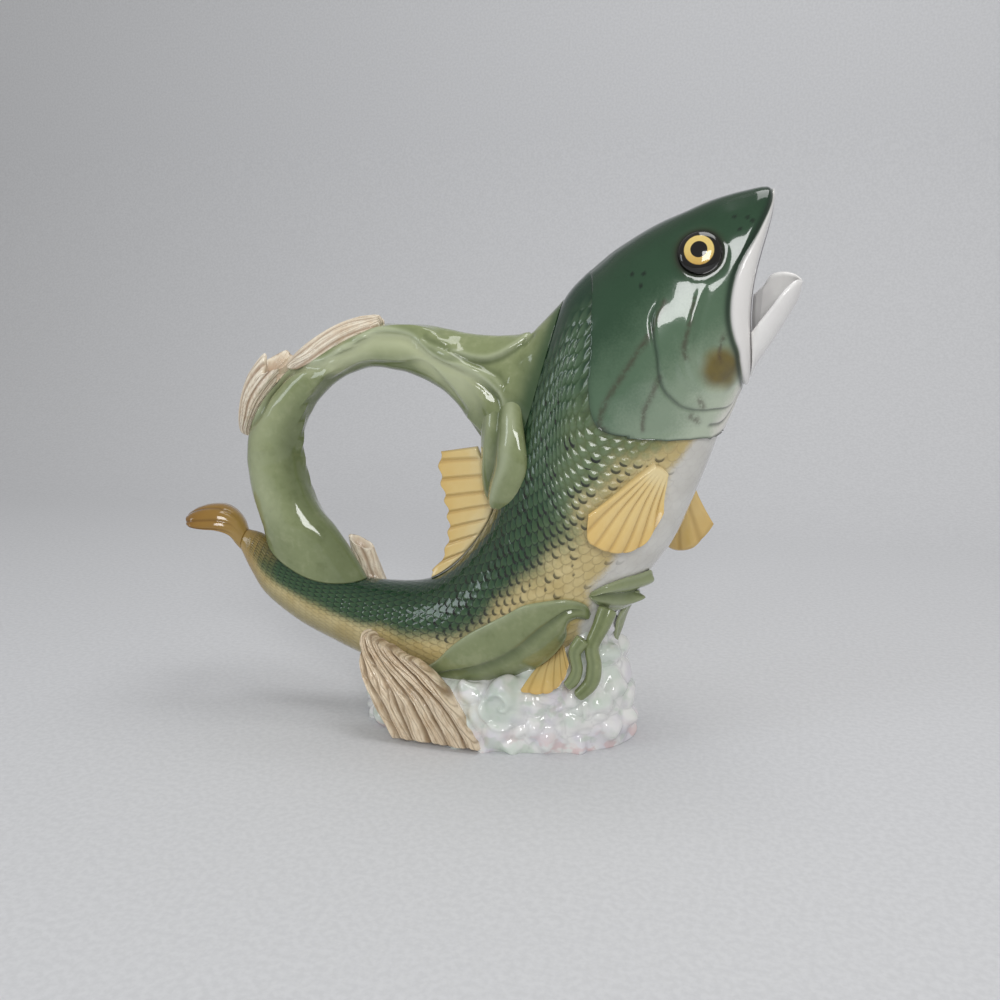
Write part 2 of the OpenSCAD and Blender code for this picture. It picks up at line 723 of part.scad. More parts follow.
// A broken stub of driftwood on the back, behind the foot of the ring
module ring_knot() {
    function seat(share) = [for (j = [0 : knot_sides - 1])
        let (turn = 360 * j / knot_sides)
        skin(knot_seat_shares[0] + knot_seat_shares[1] * share * cos(turn),
             knot_seat_shares[2] + knot_seat_shares[3] * share * sin(turn), seam)];
    base = seat(1);
    middle = mean(base);
    function ring(f) = [for (p = base)
        let (q = mix(p, middle, f * (1 - knot_top_share)))
        [q[0] - knot_lean_share * knot_h * f, q[1], mix(q[2], middle[2] + knot_h, f)]];
    color(glaze_driftwood)
        loft(concat(
            [for (share = knot_ring_shares) seat(share)],
            [for (i = [0 : knot_steps]) ring(i / knot_steps)]
        ));
}

// A point on the outside of the foam, at a turn round the base and a share of its height
function foam_point(turn, k) =
    let (top = mix(foam_h, column_share * height, max(0, cos(turn)) ^ column_power),
         shift = floor(k * foam_rows) % 2 * 90,
         lump = lump_h * sqrt(abs(sin(foam_lumps * turn / 2 + shift) * sin(180 * foam_rows * k))),
         taper = 1 - foam_taper_share * k ^ 2,
         rx = (base_reach_share * table_l - lump_h) * taper + lump,
         ry = (base_w / 2 - lump_h) * taper + lump)
    [base_middle_share * table_l + rx * cos(turn), ry * sin(turn), top * k];

module foam_block() {
    sides = foam_lumps * lump_steps;
    layers = foam_rows * lump_steps;
    loft([for (i = [0 : layers]) [for (j = [0 : sides - 1])
        foam_point(360 * j / sides, i / layers)]]);
}

// A round rod through a row of points, each with its radius
module rod(points, radii, spare = 0) {
    for (i = [0 : len(points) - 2])
        hull() {
            translate(points[i])
                sphere(radii[i] + spare, $fn = bead_sides);
            translate(points[i + 1])
                sphere(radii[i + 1] + spare, $fn = bead_sides);
        }
}

module driftwood_strands(spare = 0) {
    for (i = [0 : strands - 1]) {
        f = i / (strands - 1);
        rod([in_box(mix(strand_top_shares[0], strand_top_shares[1], f) + [0, 0, strand_end_shares[i]],
                base_w),
             in_box(mix(strand_mid_shares[0], strand_mid_shares[1], f), base_w),
             in_box(mix(strand_low_shares[0], strand_low_shares[1], f), base_w)],
            strand_t * strand_size_shares[i] * strand_radius_shares, spare);
    }
}

function stem_points(shares) = [for (i = [0 : (len(shares) - 1) * stem_steps])
    in_box(along(shares, i / stem_steps), belly_w)];

module stem(shares, r, spare = 0) {
    points = stem_points(shares);
    n = len(points) - 1;
    rod(points, [for (i = [0 : n]) r * (1 - stem_taper_share * i / n)], spare);
}

// Everything that the foam is cut to, grown by the seam
module foam_neighbours() {
    trunk_clear();
    driftwood_strands(seam);
    stem(long_stem_shares, stem_r, seam);
    stem(short_stem_shares, short_stem_r, seam);
    strip(on_skin, front_leaf_shares, 8, leaf_t, leaf_t * leaf_edge_share, spare = seam);
    strip(on_skin, collar_leaf_shares, 6, leaf_t, leaf_t * leaf_edge_share, spare = seam);
    strip(on_skin, hanging_leaf_shares, 5, leaf_t, leaf_t * leaf_edge_share,
          lift = hanging_lift, spare = seam);
    flank_fin(pelvic_shares, pelvic_rays, pelvic_spread, seam);
    mirror([0, 1, 0])
        flank_fin(pelvic_shares, pelvic_rays, pelvic_spread, seam);
}

// The foam base, cut to the belly and to the pieces that lie on it, and flat at the foot
module base_foam() {
    color(glaze_white)
        difference() {
            foam_block();
            foam_neighbours();
        }
}

module base_driftwood() {
    color(glaze_driftwood)
        difference() {
            driftwood_strands();
            trunk_clear();
        }
}

module front_leaf() {
    color(glaze_celadon)
        strip(on_skin, front_leaf_shares, 8, leaf_t, leaf_t * leaf_edge_share);
}

module collar_leaf() {
    color(glaze_celadon)
        strip(on_skin, collar_leaf_shares, 6, leaf_t, leaf_t * leaf_edge_share);
}

module hanging_leaf() {
    color(glaze_celadon)
        strip(on_skin, hanging_leaf_shares, 5, leaf_t, leaf_t * leaf_edge_share, lift = hanging_lift);
}

module long_stem() {
    color(glaze_celadon)
        difference() {
            stem(long_stem_shares, stem_r);
            trunk_clear();
        }
}

module short_stem() {
    color(glaze_celadon)
        difference() {
            stem(short_stem_shares, short_stem_r);
            trunk_clear();
        }
}

fish_body();
lower_jaw();
right_eye();
left_eye();
right_pectoral_fin();
left_pectoral_fin();
dorsal_fin();
right_pelvic_fin();
left_pelvic_fin();
tail_fin();
handle_ring();
handle_leaf();
ring_driftwood();
ring_twig();
ring_knot();
base_foam();
base_driftwood();
front_leaf();
collar_leaf();
hanging_leaf();
long_stem();
short_stem();
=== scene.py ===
# The glazed fish pitcher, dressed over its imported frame. Lengths in the tables are millimetres or
# shares of the part's own sizes, and meshes are written in metres.
import math

import bpy
import numpy as np
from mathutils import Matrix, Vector


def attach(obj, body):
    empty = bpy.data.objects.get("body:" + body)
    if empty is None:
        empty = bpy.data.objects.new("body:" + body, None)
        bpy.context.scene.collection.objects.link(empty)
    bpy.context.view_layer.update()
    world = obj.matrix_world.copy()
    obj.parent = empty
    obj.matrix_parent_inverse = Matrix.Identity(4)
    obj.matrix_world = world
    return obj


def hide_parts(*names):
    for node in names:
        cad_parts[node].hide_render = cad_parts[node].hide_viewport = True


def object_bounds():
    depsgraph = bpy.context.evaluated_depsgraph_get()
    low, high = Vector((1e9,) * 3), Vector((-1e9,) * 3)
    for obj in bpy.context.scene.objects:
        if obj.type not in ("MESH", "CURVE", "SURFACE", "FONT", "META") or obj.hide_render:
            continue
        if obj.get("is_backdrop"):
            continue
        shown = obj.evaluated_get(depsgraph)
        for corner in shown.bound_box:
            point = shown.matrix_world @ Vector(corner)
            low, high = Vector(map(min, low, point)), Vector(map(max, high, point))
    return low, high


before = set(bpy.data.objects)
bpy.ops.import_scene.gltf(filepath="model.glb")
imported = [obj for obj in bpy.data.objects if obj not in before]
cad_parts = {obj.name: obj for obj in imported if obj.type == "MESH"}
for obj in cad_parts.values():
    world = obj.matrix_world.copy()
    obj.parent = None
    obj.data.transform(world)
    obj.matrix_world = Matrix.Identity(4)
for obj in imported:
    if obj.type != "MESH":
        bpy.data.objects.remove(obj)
CAD_LOW, CAD_HIGH = (np.array(corner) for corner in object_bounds())

MM = 0.001
# The length from the tail to the jaw, and the share of the tables' unit of length that it takes up
OVERALL, OVERALL_SHARE = 338.0, 0.9855
LENGTH, HEIGHT, BELLY_W = OVERALL / OVERALL_SHARE, 287.0, 67.0
# Sizes of the fish, its eyes and fins, the ring and its driftwood, the leaves and stems, and the base
WALL, SEAM, GILL_STEP, RIM_T, JAW_T = 6.0, 0.3, 2.4, 4.5, 5.0
EYE_D, EYE_RISE = 19.6, 4.2
FIN_T, RIGHT_SPREAD, LEFT_SPREAD, PELVIC_SPREAD = 4.4, 5.0, 17.0, 21.0
RING_W, FOLD_H, BARK_T, TWIG_RISE, KNOT_H = 25.0, 2.6, 8.0, 19.0, 28.0
LEAF_T, HANGING_LIFT, LOBE_T, STEM_R, SHORT_STEM_R = 4.6, 11.0, 8.5, 3.8, 2.2
BASE_W, FOAM_H, LUMP_H, STRAND_T = 80.0, 34.0, 4.0, 11.0

# Sections of the fish from the tail to the gill cover, and from there to the rim of the mouth: the
# top and the low point as shares of length and height, the half width as a share of the belly's
# width, and how far the side lies behind
TRUNK = np.array([
    [-0.443, 0.355, -0.455, 0.310, 0.082, 0, 0],
    [-0.417, 0.347, -0.436, 0.268, 0.119, 0, 0],
    [-0.385, 0.321, -0.408, 0.221, 0.157, 0, 0],
    [-0.332, 0.294, -0.350, 0.174, 0.201, 0, 0],
    [-0.274, 0.277, -0.286, 0.141, 0.246, 0, 0],
    [-0.204, 0.269, -0.216, 0.111, 0.299, 0, 0],
    [-0.134, 0.275, -0.122, 0.084, 0.358, 0, 0],
    [-0.087, 0.302, -0.023, 0.078, 0.418, 0.002, -0.006],
    [-0.046, 0.352, 0.076, 0.129, 0.463, 0.003, -0.016],
    [-0.013, 0.415, 0.157, 0.199, 0.493, -0.005, -0.029],
    [0.009, 0.495, 0.222, 0.303, 0.500, -0.013, -0.047],
    [0.033, 0.598, 0.274, 0.395, 0.493, -0.030, -0.074],
    [0.060, 0.708, 0.303, 0.484, 0.485, -0.053, -0.099],
    [0.099, 0.814, 0.324, 0.556, 0.470, -0.076, -0.115],
    [0.131, 0.859, 0.334, 0.598, 0.455, -0.082, -0.122],
])
HEAD = np.array([
    [0.133, 0.861, 0.335, 0.600, 0.455, -0.080, -0.120],
    [0.175, 0.901, 0.345, 0.624, 0.463, -0.041, -0.059],
    [0.230, 0.940, 0.353, 0.641, 0.425, -0.015, -0.021],
    [0.306, 0.979, 0.359, 0.657, 0.373, -0.017, -0.021],
    [0.362, 0.996, 0.362, 0.665, 0.336, -0.025, -0.023],
    [0.379, 0.999, 0.364, 0.671, 0.325, -0.028, -0.024],
    [0.389, 0.997, 0.369, 0.675, 0.291, -0.020, -0.014],
    [0.394, 0.988, 0.372, 0.681, 0.231, -0.013, -0.005],
])
GILL, MOUTH, CAVITY_END = 14, 21, 5
COVER_RUN, COVER_END_TURN, COVER_FADE_TURN, LAG_POWER = 2.5, 75.0, 30.0, 4
TAIL = np.array([
    [-0.444, 0.362, -0.457, 0.305, 0.085, 0, 0],
    [-0.462, 0.388, -0.469, 0.338, 0.125, 0, -0.010],
    [-0.484, 0.402, -0.487, 0.358, 0.175, 0, -0.018],
    [-0.508, 0.403, -0.508, 0.365, 0.215, 0, -0.020],
    [-0.530, 0.396, -0.528, 0.369, 0.230, 0.003, -0.016],
    [-0.546, 0.384, -0.543, 0.373, 0.200, 0.008, -0.010],
])
RING = np.array([
    [-0.413, 0.372, -0.268, 0.350, 0.52, 200], [-0.425, 0.415, -0.298, 0.386, 0.50, 215],
    [-0.434, 0.480, -0.327, 0.438, 0.49, 235], [-0.432, 0.545, -0.341, 0.510, 0.48, 260],
    [-0.408, 0.600, -0.331, 0.572, 0.47, 290], [-0.370, 0.655, -0.303, 0.624, 0.46, 320],
    [-0.317, 0.706, -0.262, 0.665, 0.46, 335], [-0.250, 0.750, -0.215, 0.687, 0.47, 370],
    [-0.180, 0.770, -0.169, 0.684, 0.48, 400], [-0.115, 0.767, -0.123, 0.669, 0.50, 410],
    [-0.057, 0.757, -0.082, 0.640, 0.53, 375], [-0.005, 0.752, -0.046, 0.592, 0.58, 355],
    [0.030, 0.755, -0.022, 0.552, 0.62, 340], [0.055, 0.762, -0.006, 0.528, 0.68, 330],
])
FOLD_SPREAD = 32.0
TAIL_SEAT, NECK_SEAT = (2.95, 1.7, 46.0), (11.62, 1.38, 34.0)
EYE_PLACE = (16.8, 33.0)
# The distance that is given where a line is out of reach
FAR = 1e6


# Numbers and curves

def along(rows, t):
    """Smooth curve through the rows of a table, at places counted in rows."""
    rows = np.asarray(rows, float)
    t = np.asarray(t, float)
    i = np.clip(np.floor(t).astype(int), 0, len(rows) - 2)
    f = (t - i).reshape(t.shape + (1,) * (rows.ndim - 1))
    a, b = rows[np.maximum(i - 1, 0)], rows[i]
    c, d = rows[i + 1], rows[np.minimum(i + 2, len(rows) - 1)]
    return (2 * b + (c - a) * f + (2 * a - 5 * b + 4 * c - d) * f**2
            + (3 * b - a - 3 * c + d) * f**3) / 2


def mix(a, b, f):
    """The value at a share f of the way from a to b."""
    return a + (b - a) * f


def ease(low, high, value):
    """0 below low and 1 above high, with a smooth step between."""
    f = np.clip((value - low) / (high - low), 0, 1)
    return f * f * (3 - 2 * f)


def hill(distance, width):
    """1 at no distance, falling off softly to both sides."""
    return np.exp(-(distance / width) ** 2)


def bulge(share, least=0.0):
    """The height of a quarter circle at a share of the way from its top to its foot."""
    return np.sqrt(np.clip(1 - np.clip(share, 0, 1) ** 2, least, 1))


def round_over(share):
    """How far a quarter circle has dropped at a share of its run."""
    return 1 - bulge(share)


def fade_ends(share, run):
    """1 along a line, fading to 0 over a share of it at each end."""
    return ease(0, run, share) * ease(1, 1 - run, share)


def read_off(table, x):
    """The value at x in a table of pairs."""
    return np.interp(x, *np.transpose(table))


def turns(count, whole=360):
    """Even steps round a circle."""
    return np.arange(count) * whole / count


def unit(v):
    """Vectors of length 1 in the same directions."""
    return v / np.maximum(np.linalg.norm(v, axis=-1, keepdims=True), 1e-9)


def hashed(i, j, k=0):
    """A repeatable number from 0 to 1 for each whole place."""
    n = (np.asarray(i, np.int64) * 374761393 + np.asarray(j, np.int64) * 668265263
         + np.asarray(k, np.int64) * 1274126177) & 0xFFFFFFFF
    n = ((n ^ (n >> 13)) * 1103515245) & 0xFFFFFFFF
    n = ((n ^ (n >> 15)) * 2246822519) & 0xFFFFFFFF
    return ((n ^ (n >> 16)) & 0xFFFFFF) / float(0xFFFFFF)


def noise(points, size, seed=0):
    """Smooth noise from -1 to 1 at points, with waves of about that size."""
    q = np.asarray(points, float) / size + 31.7 * (seed + 1)
    i = np.floor(q).astype(np.int64)
    f = q - i
    f = f * f * (3 - 2 * f)
    total = 0
    for dx in (0, 1):
        for dy in (0, 1):
            for dz in (0, 1):
                w = ((f[..., 0] if dx else 1 - f[..., 0]) * (f[..., 1] if dy else 1 - f[..., 1])
                     * (f[..., 2] if dz else 1 - f[..., 2]))
                total = total + w * hashed(i[..., 0] + dx, i[..., 1] + dy, i[..., 2] + dz)
    return 2 * total - 1


def waver(points, size, seeds):
    """Three noises, which shift points in all directions."""
    return np.stack([noise(points, size, seed) for seed in seeds], -1)


def section(top, low, side, lag, turn):
    """A closed section through an upper and a lower point, with its sides drawn back."""
    turn = np.radians(turn)
    half = (top - low) / 2
    q = (top + low) / 2 + half * np.sin(turn)[..., None] + lag * np.abs(np.cos(turn))[..., None] ** LAG_POWER
    return np.stack([q[..., 0], -side * np.cos(turn), q[..., 1]], -1)


def grown_section(row, turn, grow, width=BELLY_W):
    """A section from a row of a table, grown outwards by a height in millimetres."""
    size = np.array([LENGTH, HEIGHT])
    top, low = row[..., 0:2] * size, row[..., 2:4] * size
    up = unit(top - low) * np.asarray(grow, float)[..., None]
    return section(top + up, low - up, row[..., 4] * width + grow, row[..., 5:7] * size, turn)


def upward(turn):
    """The turn round a section, folded to -90 at the belly and 90 at the back."""
    turn = (np.asarray(turn, float) + 90) % 360 - 90
    return np.where(turn > 90, 180 - turn, turn)


def cover(t, turn):
    """The raised edge of the gill cover."""
    rise = GILL_STEP * np.clip(1 - (t - GILL) / COVER_RUN, 0, 1)
    rise = rise * np.clip((COVER_END_TURN - upward(turn)) / COVER_FADE_TURN, 0, 1)
    return np.where(np.asarray(t) < GILL, 0, rise)


def skin(t, turn, rise=0.0, step=None):
    """A point on the fish at section t and at a turn round it, raised by a height.

    step moves the edge of the gill cover to another section.
    """
    t, turn, rise = np.broadcast_arrays(*(np.asarray(x, float) for x in (t, turn, rise)))
    row = np.where((t < GILL)[..., None], along(TRUNK, np.minimum(t, GILL)),
                   along(HEAD, np.maximum(t - GILL, 0)))
    return grown_section(row, turn, rise + cover(t if step is None else step, turn))


def ring_point(t, turn, rise=0.0):
    """A point on the kelp ring at section t and at a turn round it."""
    t, turn, rise = np.broadcast_arrays(*(np.asarray(x, float) for x in (t, turn, rise)))
    row = along(RING, t)
    gap = np.abs((turn - row[..., 5] + 540) % 360 - 180)
    fold = FOLD_H * np.clip(1 - gap / FOLD_SPREAD, 0, 1) ** 2
    flat = np.concatenate([row[..., :5], np.zeros(row.shape[:-1] + (2,))], -1)
    return grown_section(flat, turn, rise + fold, RING_W)


def normals_of(points, wrap):
    """Normals of a grid of points, from its neighbours."""
    if wrap:
        across = np.roll(points, -1, 1) - np.roll(points, 1, 1)
    else:
        across = np.gradient(points, axis=1)
    return unit(np.cross(np.gradient(points, axis=0), across))


def outward(points, normals, centre):
    """Normals turned so that most of them point away from the centre."""
    return normals * np.sign((normals * (points - centre)).sum(-1, keepdims=True).mean())


def path_on(surface, places, steps=6):
    """A line of points on a surface through places of section and turn."""
    places = along(np.array(places, float), np.arange(0, (len(places) - 1) * steps + 1) / steps)
    return surface(places[:, 0], places[:, 1])


def line_field(points, normals, path, reach=30.0):
    """Distance to a line on the surface, signed by its side, and the share of the line passed."""
    shape = points.shape[:-1]
    flat, up = points.reshape(-1, 3), normals.reshape(-1, 3)
    best = np.full(len(flat), FAR)
    side = np.ones(len(flat))
    passed = np.zeros(len(flat))
    inside = np.where(((flat > path.min(0) - reach) & (flat < path.max(0) + reach)).all(1))[0]
    p, n = flat[inside], up[inside]
    b, s, f = best[inside], side[inside], passed[inside]
    for i in range(len(path) - 1):
        run = path[i + 1] - path[i]
        h = np.clip((p - path[i]) @ run / max(run @ run, 1e-9), 0, 1)
        off = p - path[i] - h[:, None] * run
        d = np.linalg.norm(off, axis=1)
        near = d < b
        b[near] = d[near]
        s[near] = np.sign((np.cross(run, off[near]) * n[near]).sum(1))
        f[near] = (i + h[near]) / (len(path) - 1)
    best[inside], side[inside], passed[inside] = b, s, f
    return (best * side).reshape(shape), passed.reshape(shape)


# Meshes

CLOSER_AT_EDGES = 0.45


def tube_faces(n, m):
    """The quads between n rings of m points."""
    i, j = np.meshgrid(np.arange(n - 1), np.arange(m), indexing="ij")
    a, b = i * m + j, i * m + (j + 1) % m
    return np.stack([a, a + m, b + m, b], -1).reshape(-1, 4)


def make_piece(name, points, quads, tris, marks, material, node):
    """A smooth closed mesh with number marks on its points, which replaces a node of the frame.

    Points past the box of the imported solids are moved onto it.
    """
    corners = np.concatenate([quads[:, [0, 1, 2]], quads[:, [0, 2, 3]], tris])
    a, b, c = (points[corners[:, k]] for k in range(3))
    if (np.cross(a, b) * c).sum() < 0:
        quads, tris = quads[:, ::-1], tris[:, ::-1]
    mesh = bpy.data.meshes.new(name)
    mesh.vertices.add(len(points))
    inside = np.clip(points * MM, CAD_LOW, CAD_HIGH)
    mesh.vertices.foreach_set("co", inside.astype(np.float32).ravel())
    loops = np.concatenate([quads.ravel(), tris.ravel()]).astype(np.int32)
    starts = np.concatenate([np.arange(len(quads)) * 4, len(quads) * 4 + np.arange(len(tris)) * 3])
    mesh.loops.add(len(loops))
    mesh.loops.foreach_set("vertex_index", loops)
    mesh.polygons.add(len(starts))
    mesh.polygons.foreach_set("loop_start", starts.astype(np.int32))
    mesh.update(calc_edges=True)
    mesh.validate()
    mesh.shade_smooth()
    for key, values in marks.items():
        layer = mesh.attributes.new(key, "FLOAT", "POINT")
        layer.data.foreach_set("value", np.asarray(values, np.float32).ravel())
    mesh.materials.append(material)
    piece = bpy.data.objects.new(name, mesh)
    bpy.context.scene.collection.objects.link(piece)
    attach(piece, "root")
    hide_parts(node)
    return piece


def tube_piece(name, rows, marks, material, node):
    """A tube through rings of points, closed by a fan at each end."""
    n, m = rows.shape[:2]
    j = np.arange(m)
    last = (n - 1) * m
    fans = np.concatenate([
        np.stack([np.full(m, n * m), j, (j + 1) % m], -1),
        np.stack([np.full(m, n * m + 1), last + (j + 1) % m, last + j], -1)])
    full = {k: np.concatenate([v.ravel(), [v[0].mean(), v[-1].mean()]]) for k, v in marks.items()}
    points = np.concatenate([rows.reshape(-1, 3), [rows[0].mean(0), rows[-1].mean(0)]])
    return make_piece(name, points, tube_faces(n, m), fans, full, material, node)


def closing_rings(ring, way, steps):
    """Rings that close an end: each some share of the way in, and moved some steps along way."""
    return np.stack([mix(ring, ring.mean(0), share) + way * moved for share, moved in steps])


def plate_piece(name, place, top, low, shape, edge, marks, material, node, mirror=False):
    """A plate over u and v from 0 to 1, between two heights, with its edges rounded.

    place(u, v, rise) gives points. top and low are arrays of heights on the grid, and edge is the
    width over which the edges are rounded.
    """
    u, v = plate_grid(shape)
    middle = (top + low) / 2
    base = place(u, v, middle)
    du = np.linalg.norm(np.diff(base, axis=0), axis=-1)
    dv = np.linalg.norm(np.diff(base, axis=1), axis=-1)
    zero_u, zero_v = np.zeros((1, shape[1])), np.zeros((shape[0], 1))
    from_start = np.concatenate([zero_u, np.cumsum(du, 0)])
    from_left = np.concatenate([zero_v, np.cumsum(dv, 1)], 1)
    s = np.minimum(np.minimum(from_start, from_start[-1] - from_start),
                   np.minimum(from_left, from_left[:, -1:] - from_left))
    full = bulge(1 - s / edge)
    full[0], full[-1], full[:, 0], full[:, -1] = 0, 0, 0, 0
    upper = place(u, v, middle + (top - middle) * full)
    lower = place(u, v, middle - (middle - low) * full)
    n, m = shape
    index = np.arange(n * m).reshape(n, m)
    under = index.copy()
    under[1:-1, 1:-1] = n * m + np.arange((n - 2) * (m - 2)).reshape(n - 2, m - 2)

    def squares(grid):
        return np.stack([grid[:-1, :-1], grid[1:, :-1], grid[1:, 1:], grid[:-1, 1:]], -1).reshape(-1, 4)

    faces = np.concatenate([squares(index), squares(under)[:, ::-1]])
    points = np.concatenate([upper.reshape(-1, 3), lower[1:-1, 1:-1].reshape(-1, 3)])
    if mirror:
        points = points * np.array([1, -1, 1])
    marks = dict(marks, u=u, v=v, brim=1 - full)
    both = {k: np.concatenate([np.broadcast_to(x, shape).ravel(),
                               np.broadcast_to(x, shape)[1:-1, 1:-1].ravel()])
            for k, x in marks.items()}
    return make_piece(name, points, faces, np.zeros((0, 3), int), both, material, node)


def plate_grid(shape):
    """Shares along and across a plate, closer together near its edges."""
    def spaced(n):
        x = np.linspace(0, 1, n)
        return mix(x, (1 - np.cos(np.pi * x)) / 2, CLOSER_AT_EDGES)

    return np.meshgrid(spaced(shape[0]), spaced(shape[1]), indexing="ij")


def between(edges, surface):
    """The places of a strip between two edges on a surface."""
    edges = np.array(edges, float)

    def place(u, v, rise):
        row = along(edges, u * (len(edges) - 1))
        return surface(mix(row[..., 0], row[..., 2], v), mix(row[..., 1], row[..., 3], v), rise)

    return place


# Materials

NOISE_ROUGHNESS = 0.55
GLAZE_SPECULAR, COAT_ROUGHNESS, COAT_IOR = 0.2, 0.03, 1.5
# The size in millimetres of the soft waves that every glaze has
SWELL_SIZE = 9.0


def rgb(r, g, b):
    """A colour written as screen values, in linear light."""
    c = np.array([r, g, b]) / 255
    c = np.where(c <= 0.04045, c / 12.92, ((c + 0.055) / 1.055) ** 2.4)
    return (float(c[0]), float(c[1]), float(c[2]), 1.0)


class Value:
    """A socket of a node tree that takes part in sums."""

    def __init__(self, paint, socket):
        self.paint, self.socket = paint, socket

    def __add__(self, other):
        return self.paint.math("ADD", self, other)

    def __sub__(self, other):
        return self.paint.math("SUBTRACT", self, other)

    def __rsub__(self, other):
        return self.paint.math("SUBTRACT", other, self)

    def __mul__(self, other):
        return self.paint.math("MULTIPLY", self, other)

    def __truediv__(self, other):
        return self.paint.math("DIVIDE", self, other)

    __radd__ = __add__
    __rmul__ = __mul__


class Paint:
    """A glaze built from nodes."""

    def __init__(self, name):
        self.material = bpy.data.materials.new(name)
        self.material.use_nodes = True
        self.tree = self.material.node_tree
        self.shader = self.tree.nodes["Principled BSDF"]
        self.place = self.new("TexCoord").outputs["Object"]

    def new(self, kind):
        return self.tree.nodes.new("ShaderNode" + kind)

    def link(self, value, socket):
        """Joins an output to a socket, or sets a number or a colour on it."""
        if isinstance(value, Value):
            value = value.socket
        if isinstance(value, bpy.types.NodeSocket):
            self.tree.links.new(value, socket)
        else:
            socket.default_value = value

    def join(self, node, inputs):
        """Joins values to inputs of a node, each by its name or number."""
        for key, value in inputs.items():
            self.link(value, node.inputs[key])

    def math(self, kind, *values):
        node = self.new("Math")
        node.operation = kind
        self.join(node, dict(enumerate(values)))
        return Value(self, node.outputs[0])

    def mark(self, name):
        """A number mark of the mesh, which is 0 where the mesh has none."""
        node = self.new("Attribute")
        node.attribute_name = name
        return Value(self, node.outputs["Fac"])

    def ease(self, low, high, value):
        """0 below low and 1 above high, with a smooth step between."""
        node = self.new("MapRange")
        node.interpolation_type = "SMOOTHSTEP"
        self.join(node, {"Value": value, "From Min": low, "From Max": high})
        return Value(self, node.outputs["Result"])

    def noise(self, size, detail=3.0, stretch=(1, 1, 1)):
        """Noise with waves of about that size in millimetres."""
        place, node = self.new("Mapping"), self.new("TexNoise")
        self.join(place, {"Vector": self.place, "Scale": stretch})
        self.join(node, {"Vector": place.outputs[0], "Scale": 1 / (size * MM), "Detail": detail,
                         "Roughness": NOISE_ROUGHNESS})
        return Value(self, node.outputs[0])

    def chance(self, x, y):
        """A number from 0 to 1 for each pair of whole numbers."""
        pair, node = self.new("CombineXYZ"), self.new("TexWhiteNoise")
        self.join(pair, {0: x, 1: y})
        node.noise_dimensions = "2D"
        self.join(node, {"Vector": pair.outputs[0]})
        return Value(self, node.outputs["Value"])

    def ramp(self, value, *stops):
        """A colour for a value, from stops of a place and the colour's three screen values."""
        node = self.new("ValToRGB")
        self.join(node, {0: value})
        ramp = node.color_ramp
        ramp.interpolation = "EASE"
        while len(ramp.elements) < len(stops):
            ramp.elements.new(0.5)
        for element, (place, *colour) in zip(ramp.elements, stops):
            element.position = place
            element.color = rgb(*colour)
        return node.outputs[0]

    def blend(self, factor, under, over):
        node = self.new("Mix")
        node.data_type = "RGBA"
        self.join(node, {0: factor, 6: under, 7: over})
        return node.outputs[2]

    def layers(self, colour, *covers):
        """A colour with covers over it, each a factor and a colour."""
        for factor, cover_colour in covers:
            colour = self.blend(factor, colour, cover_colour)
        return colour

    def finish(self, colour, height=None, rough=0.16, coat=0.85, wave=0.03):
        """Joins the colour, the relief in millimetres and the glassy coat."""
        self.join(self.shader, {"Base Color": colour, "Roughness": rough, "Coat Weight": coat,
                                "Specular IOR Level": GLAZE_SPECULAR, "Coat Roughness": COAT_ROUGHNESS,
                                "Coat IOR": COAT_IOR})
        swell = self.noise(SWELL_SIZE, 2.0) * wave
        bump = self.new("Bump")
        height = swell if height is None else height + swell
        self.join(bump, {"Strength": 1.0, "Distance": MM, "Height": height})
        self.link(bump.outputs[0], self.shader.inputs["Normal"])
        return self.material


# The fish

BODY_ROWS, BODY_SIDES, LINE_STEPS = 640, 336, 4201
SCALES_ROUND = 46
SCALE_AT_TAIL, SCALE_AT_BELLY, BELLY_SECTION = 3.9, 5.2, 8
SCALE_RELIEF, PEBBLE_RELIEF = 0.36, 0.64
# How the step of the gill cover is spread over rows close together, and over how many sections its
# bent line pulls the rows with it
STEP_SHARES, STEP_RUN, GILL_PULL = np.array([0.0, 0.25, 0.6, 0.9, 1.0]), 0.012, 1.5

# The turn at which the green gives way to yellow, and the yellow to white, along the trunk
YELLOW_TURN = [(0, -6), (2.4, 0), (4, 2), (5.8, 2), (7, 4), (8.4, 12), (9.1, 10), (9.6, 3), (10.2, -4),
               (10.9, -9), (11.3, -9), (11.9, -13), (12.5, -23), (13.1, -31), (13.6, -42), (14, -48)]
WHITE_TURN = [(0, -120), (7.5, -110), (8.6, -75), (9.2, -45), (9.9, -34), (10.8, -33), (11.4, -46),
              (12.0, -50), (12.8, -50), (13.4, -55), (14, -60)]
# Lines on the head, as places of section and turn
HEAD_LINES = {
    "cheek": [(15.9, 22), (15.6, 15), (15.5, 6), (15.4, -3), (15.2, -12), (15, -21), (14.9, -27),
              (14.75, -36), (14.7, -45), (14.8, -54), (15.3, -68), (16.4, -76), (18.2, -74)],
    "ridge": [(15.9, 0), (15.8, -6), (15.7, -12), (15.5, -21), (15.4, -30), (15.3, -38)],
    "bone": [(17.0, 20), (16.6, 6), (16.1, -9), (15.75, -21), (15.5, -34), (15.5, -44), (16, -52),
             (17.3, -54), (18.6, -50)],
    "lip": [(19.9, 90), (20.2, 76), (20.45, 63), (20.2, 48), (19.7, 33), (19.2, 24), (18.9, 15),
            (18.9, 3), (19, -12), (19.1, -24), (19.2, -36), (18.8, -48), (18.6, -60), (18.9, -78),
            (19.1, -90)],
    "throat": [(14.05, -58), (14.3, -70), (14.9, -78), (16.2, -82), (18.2, -82)],
}
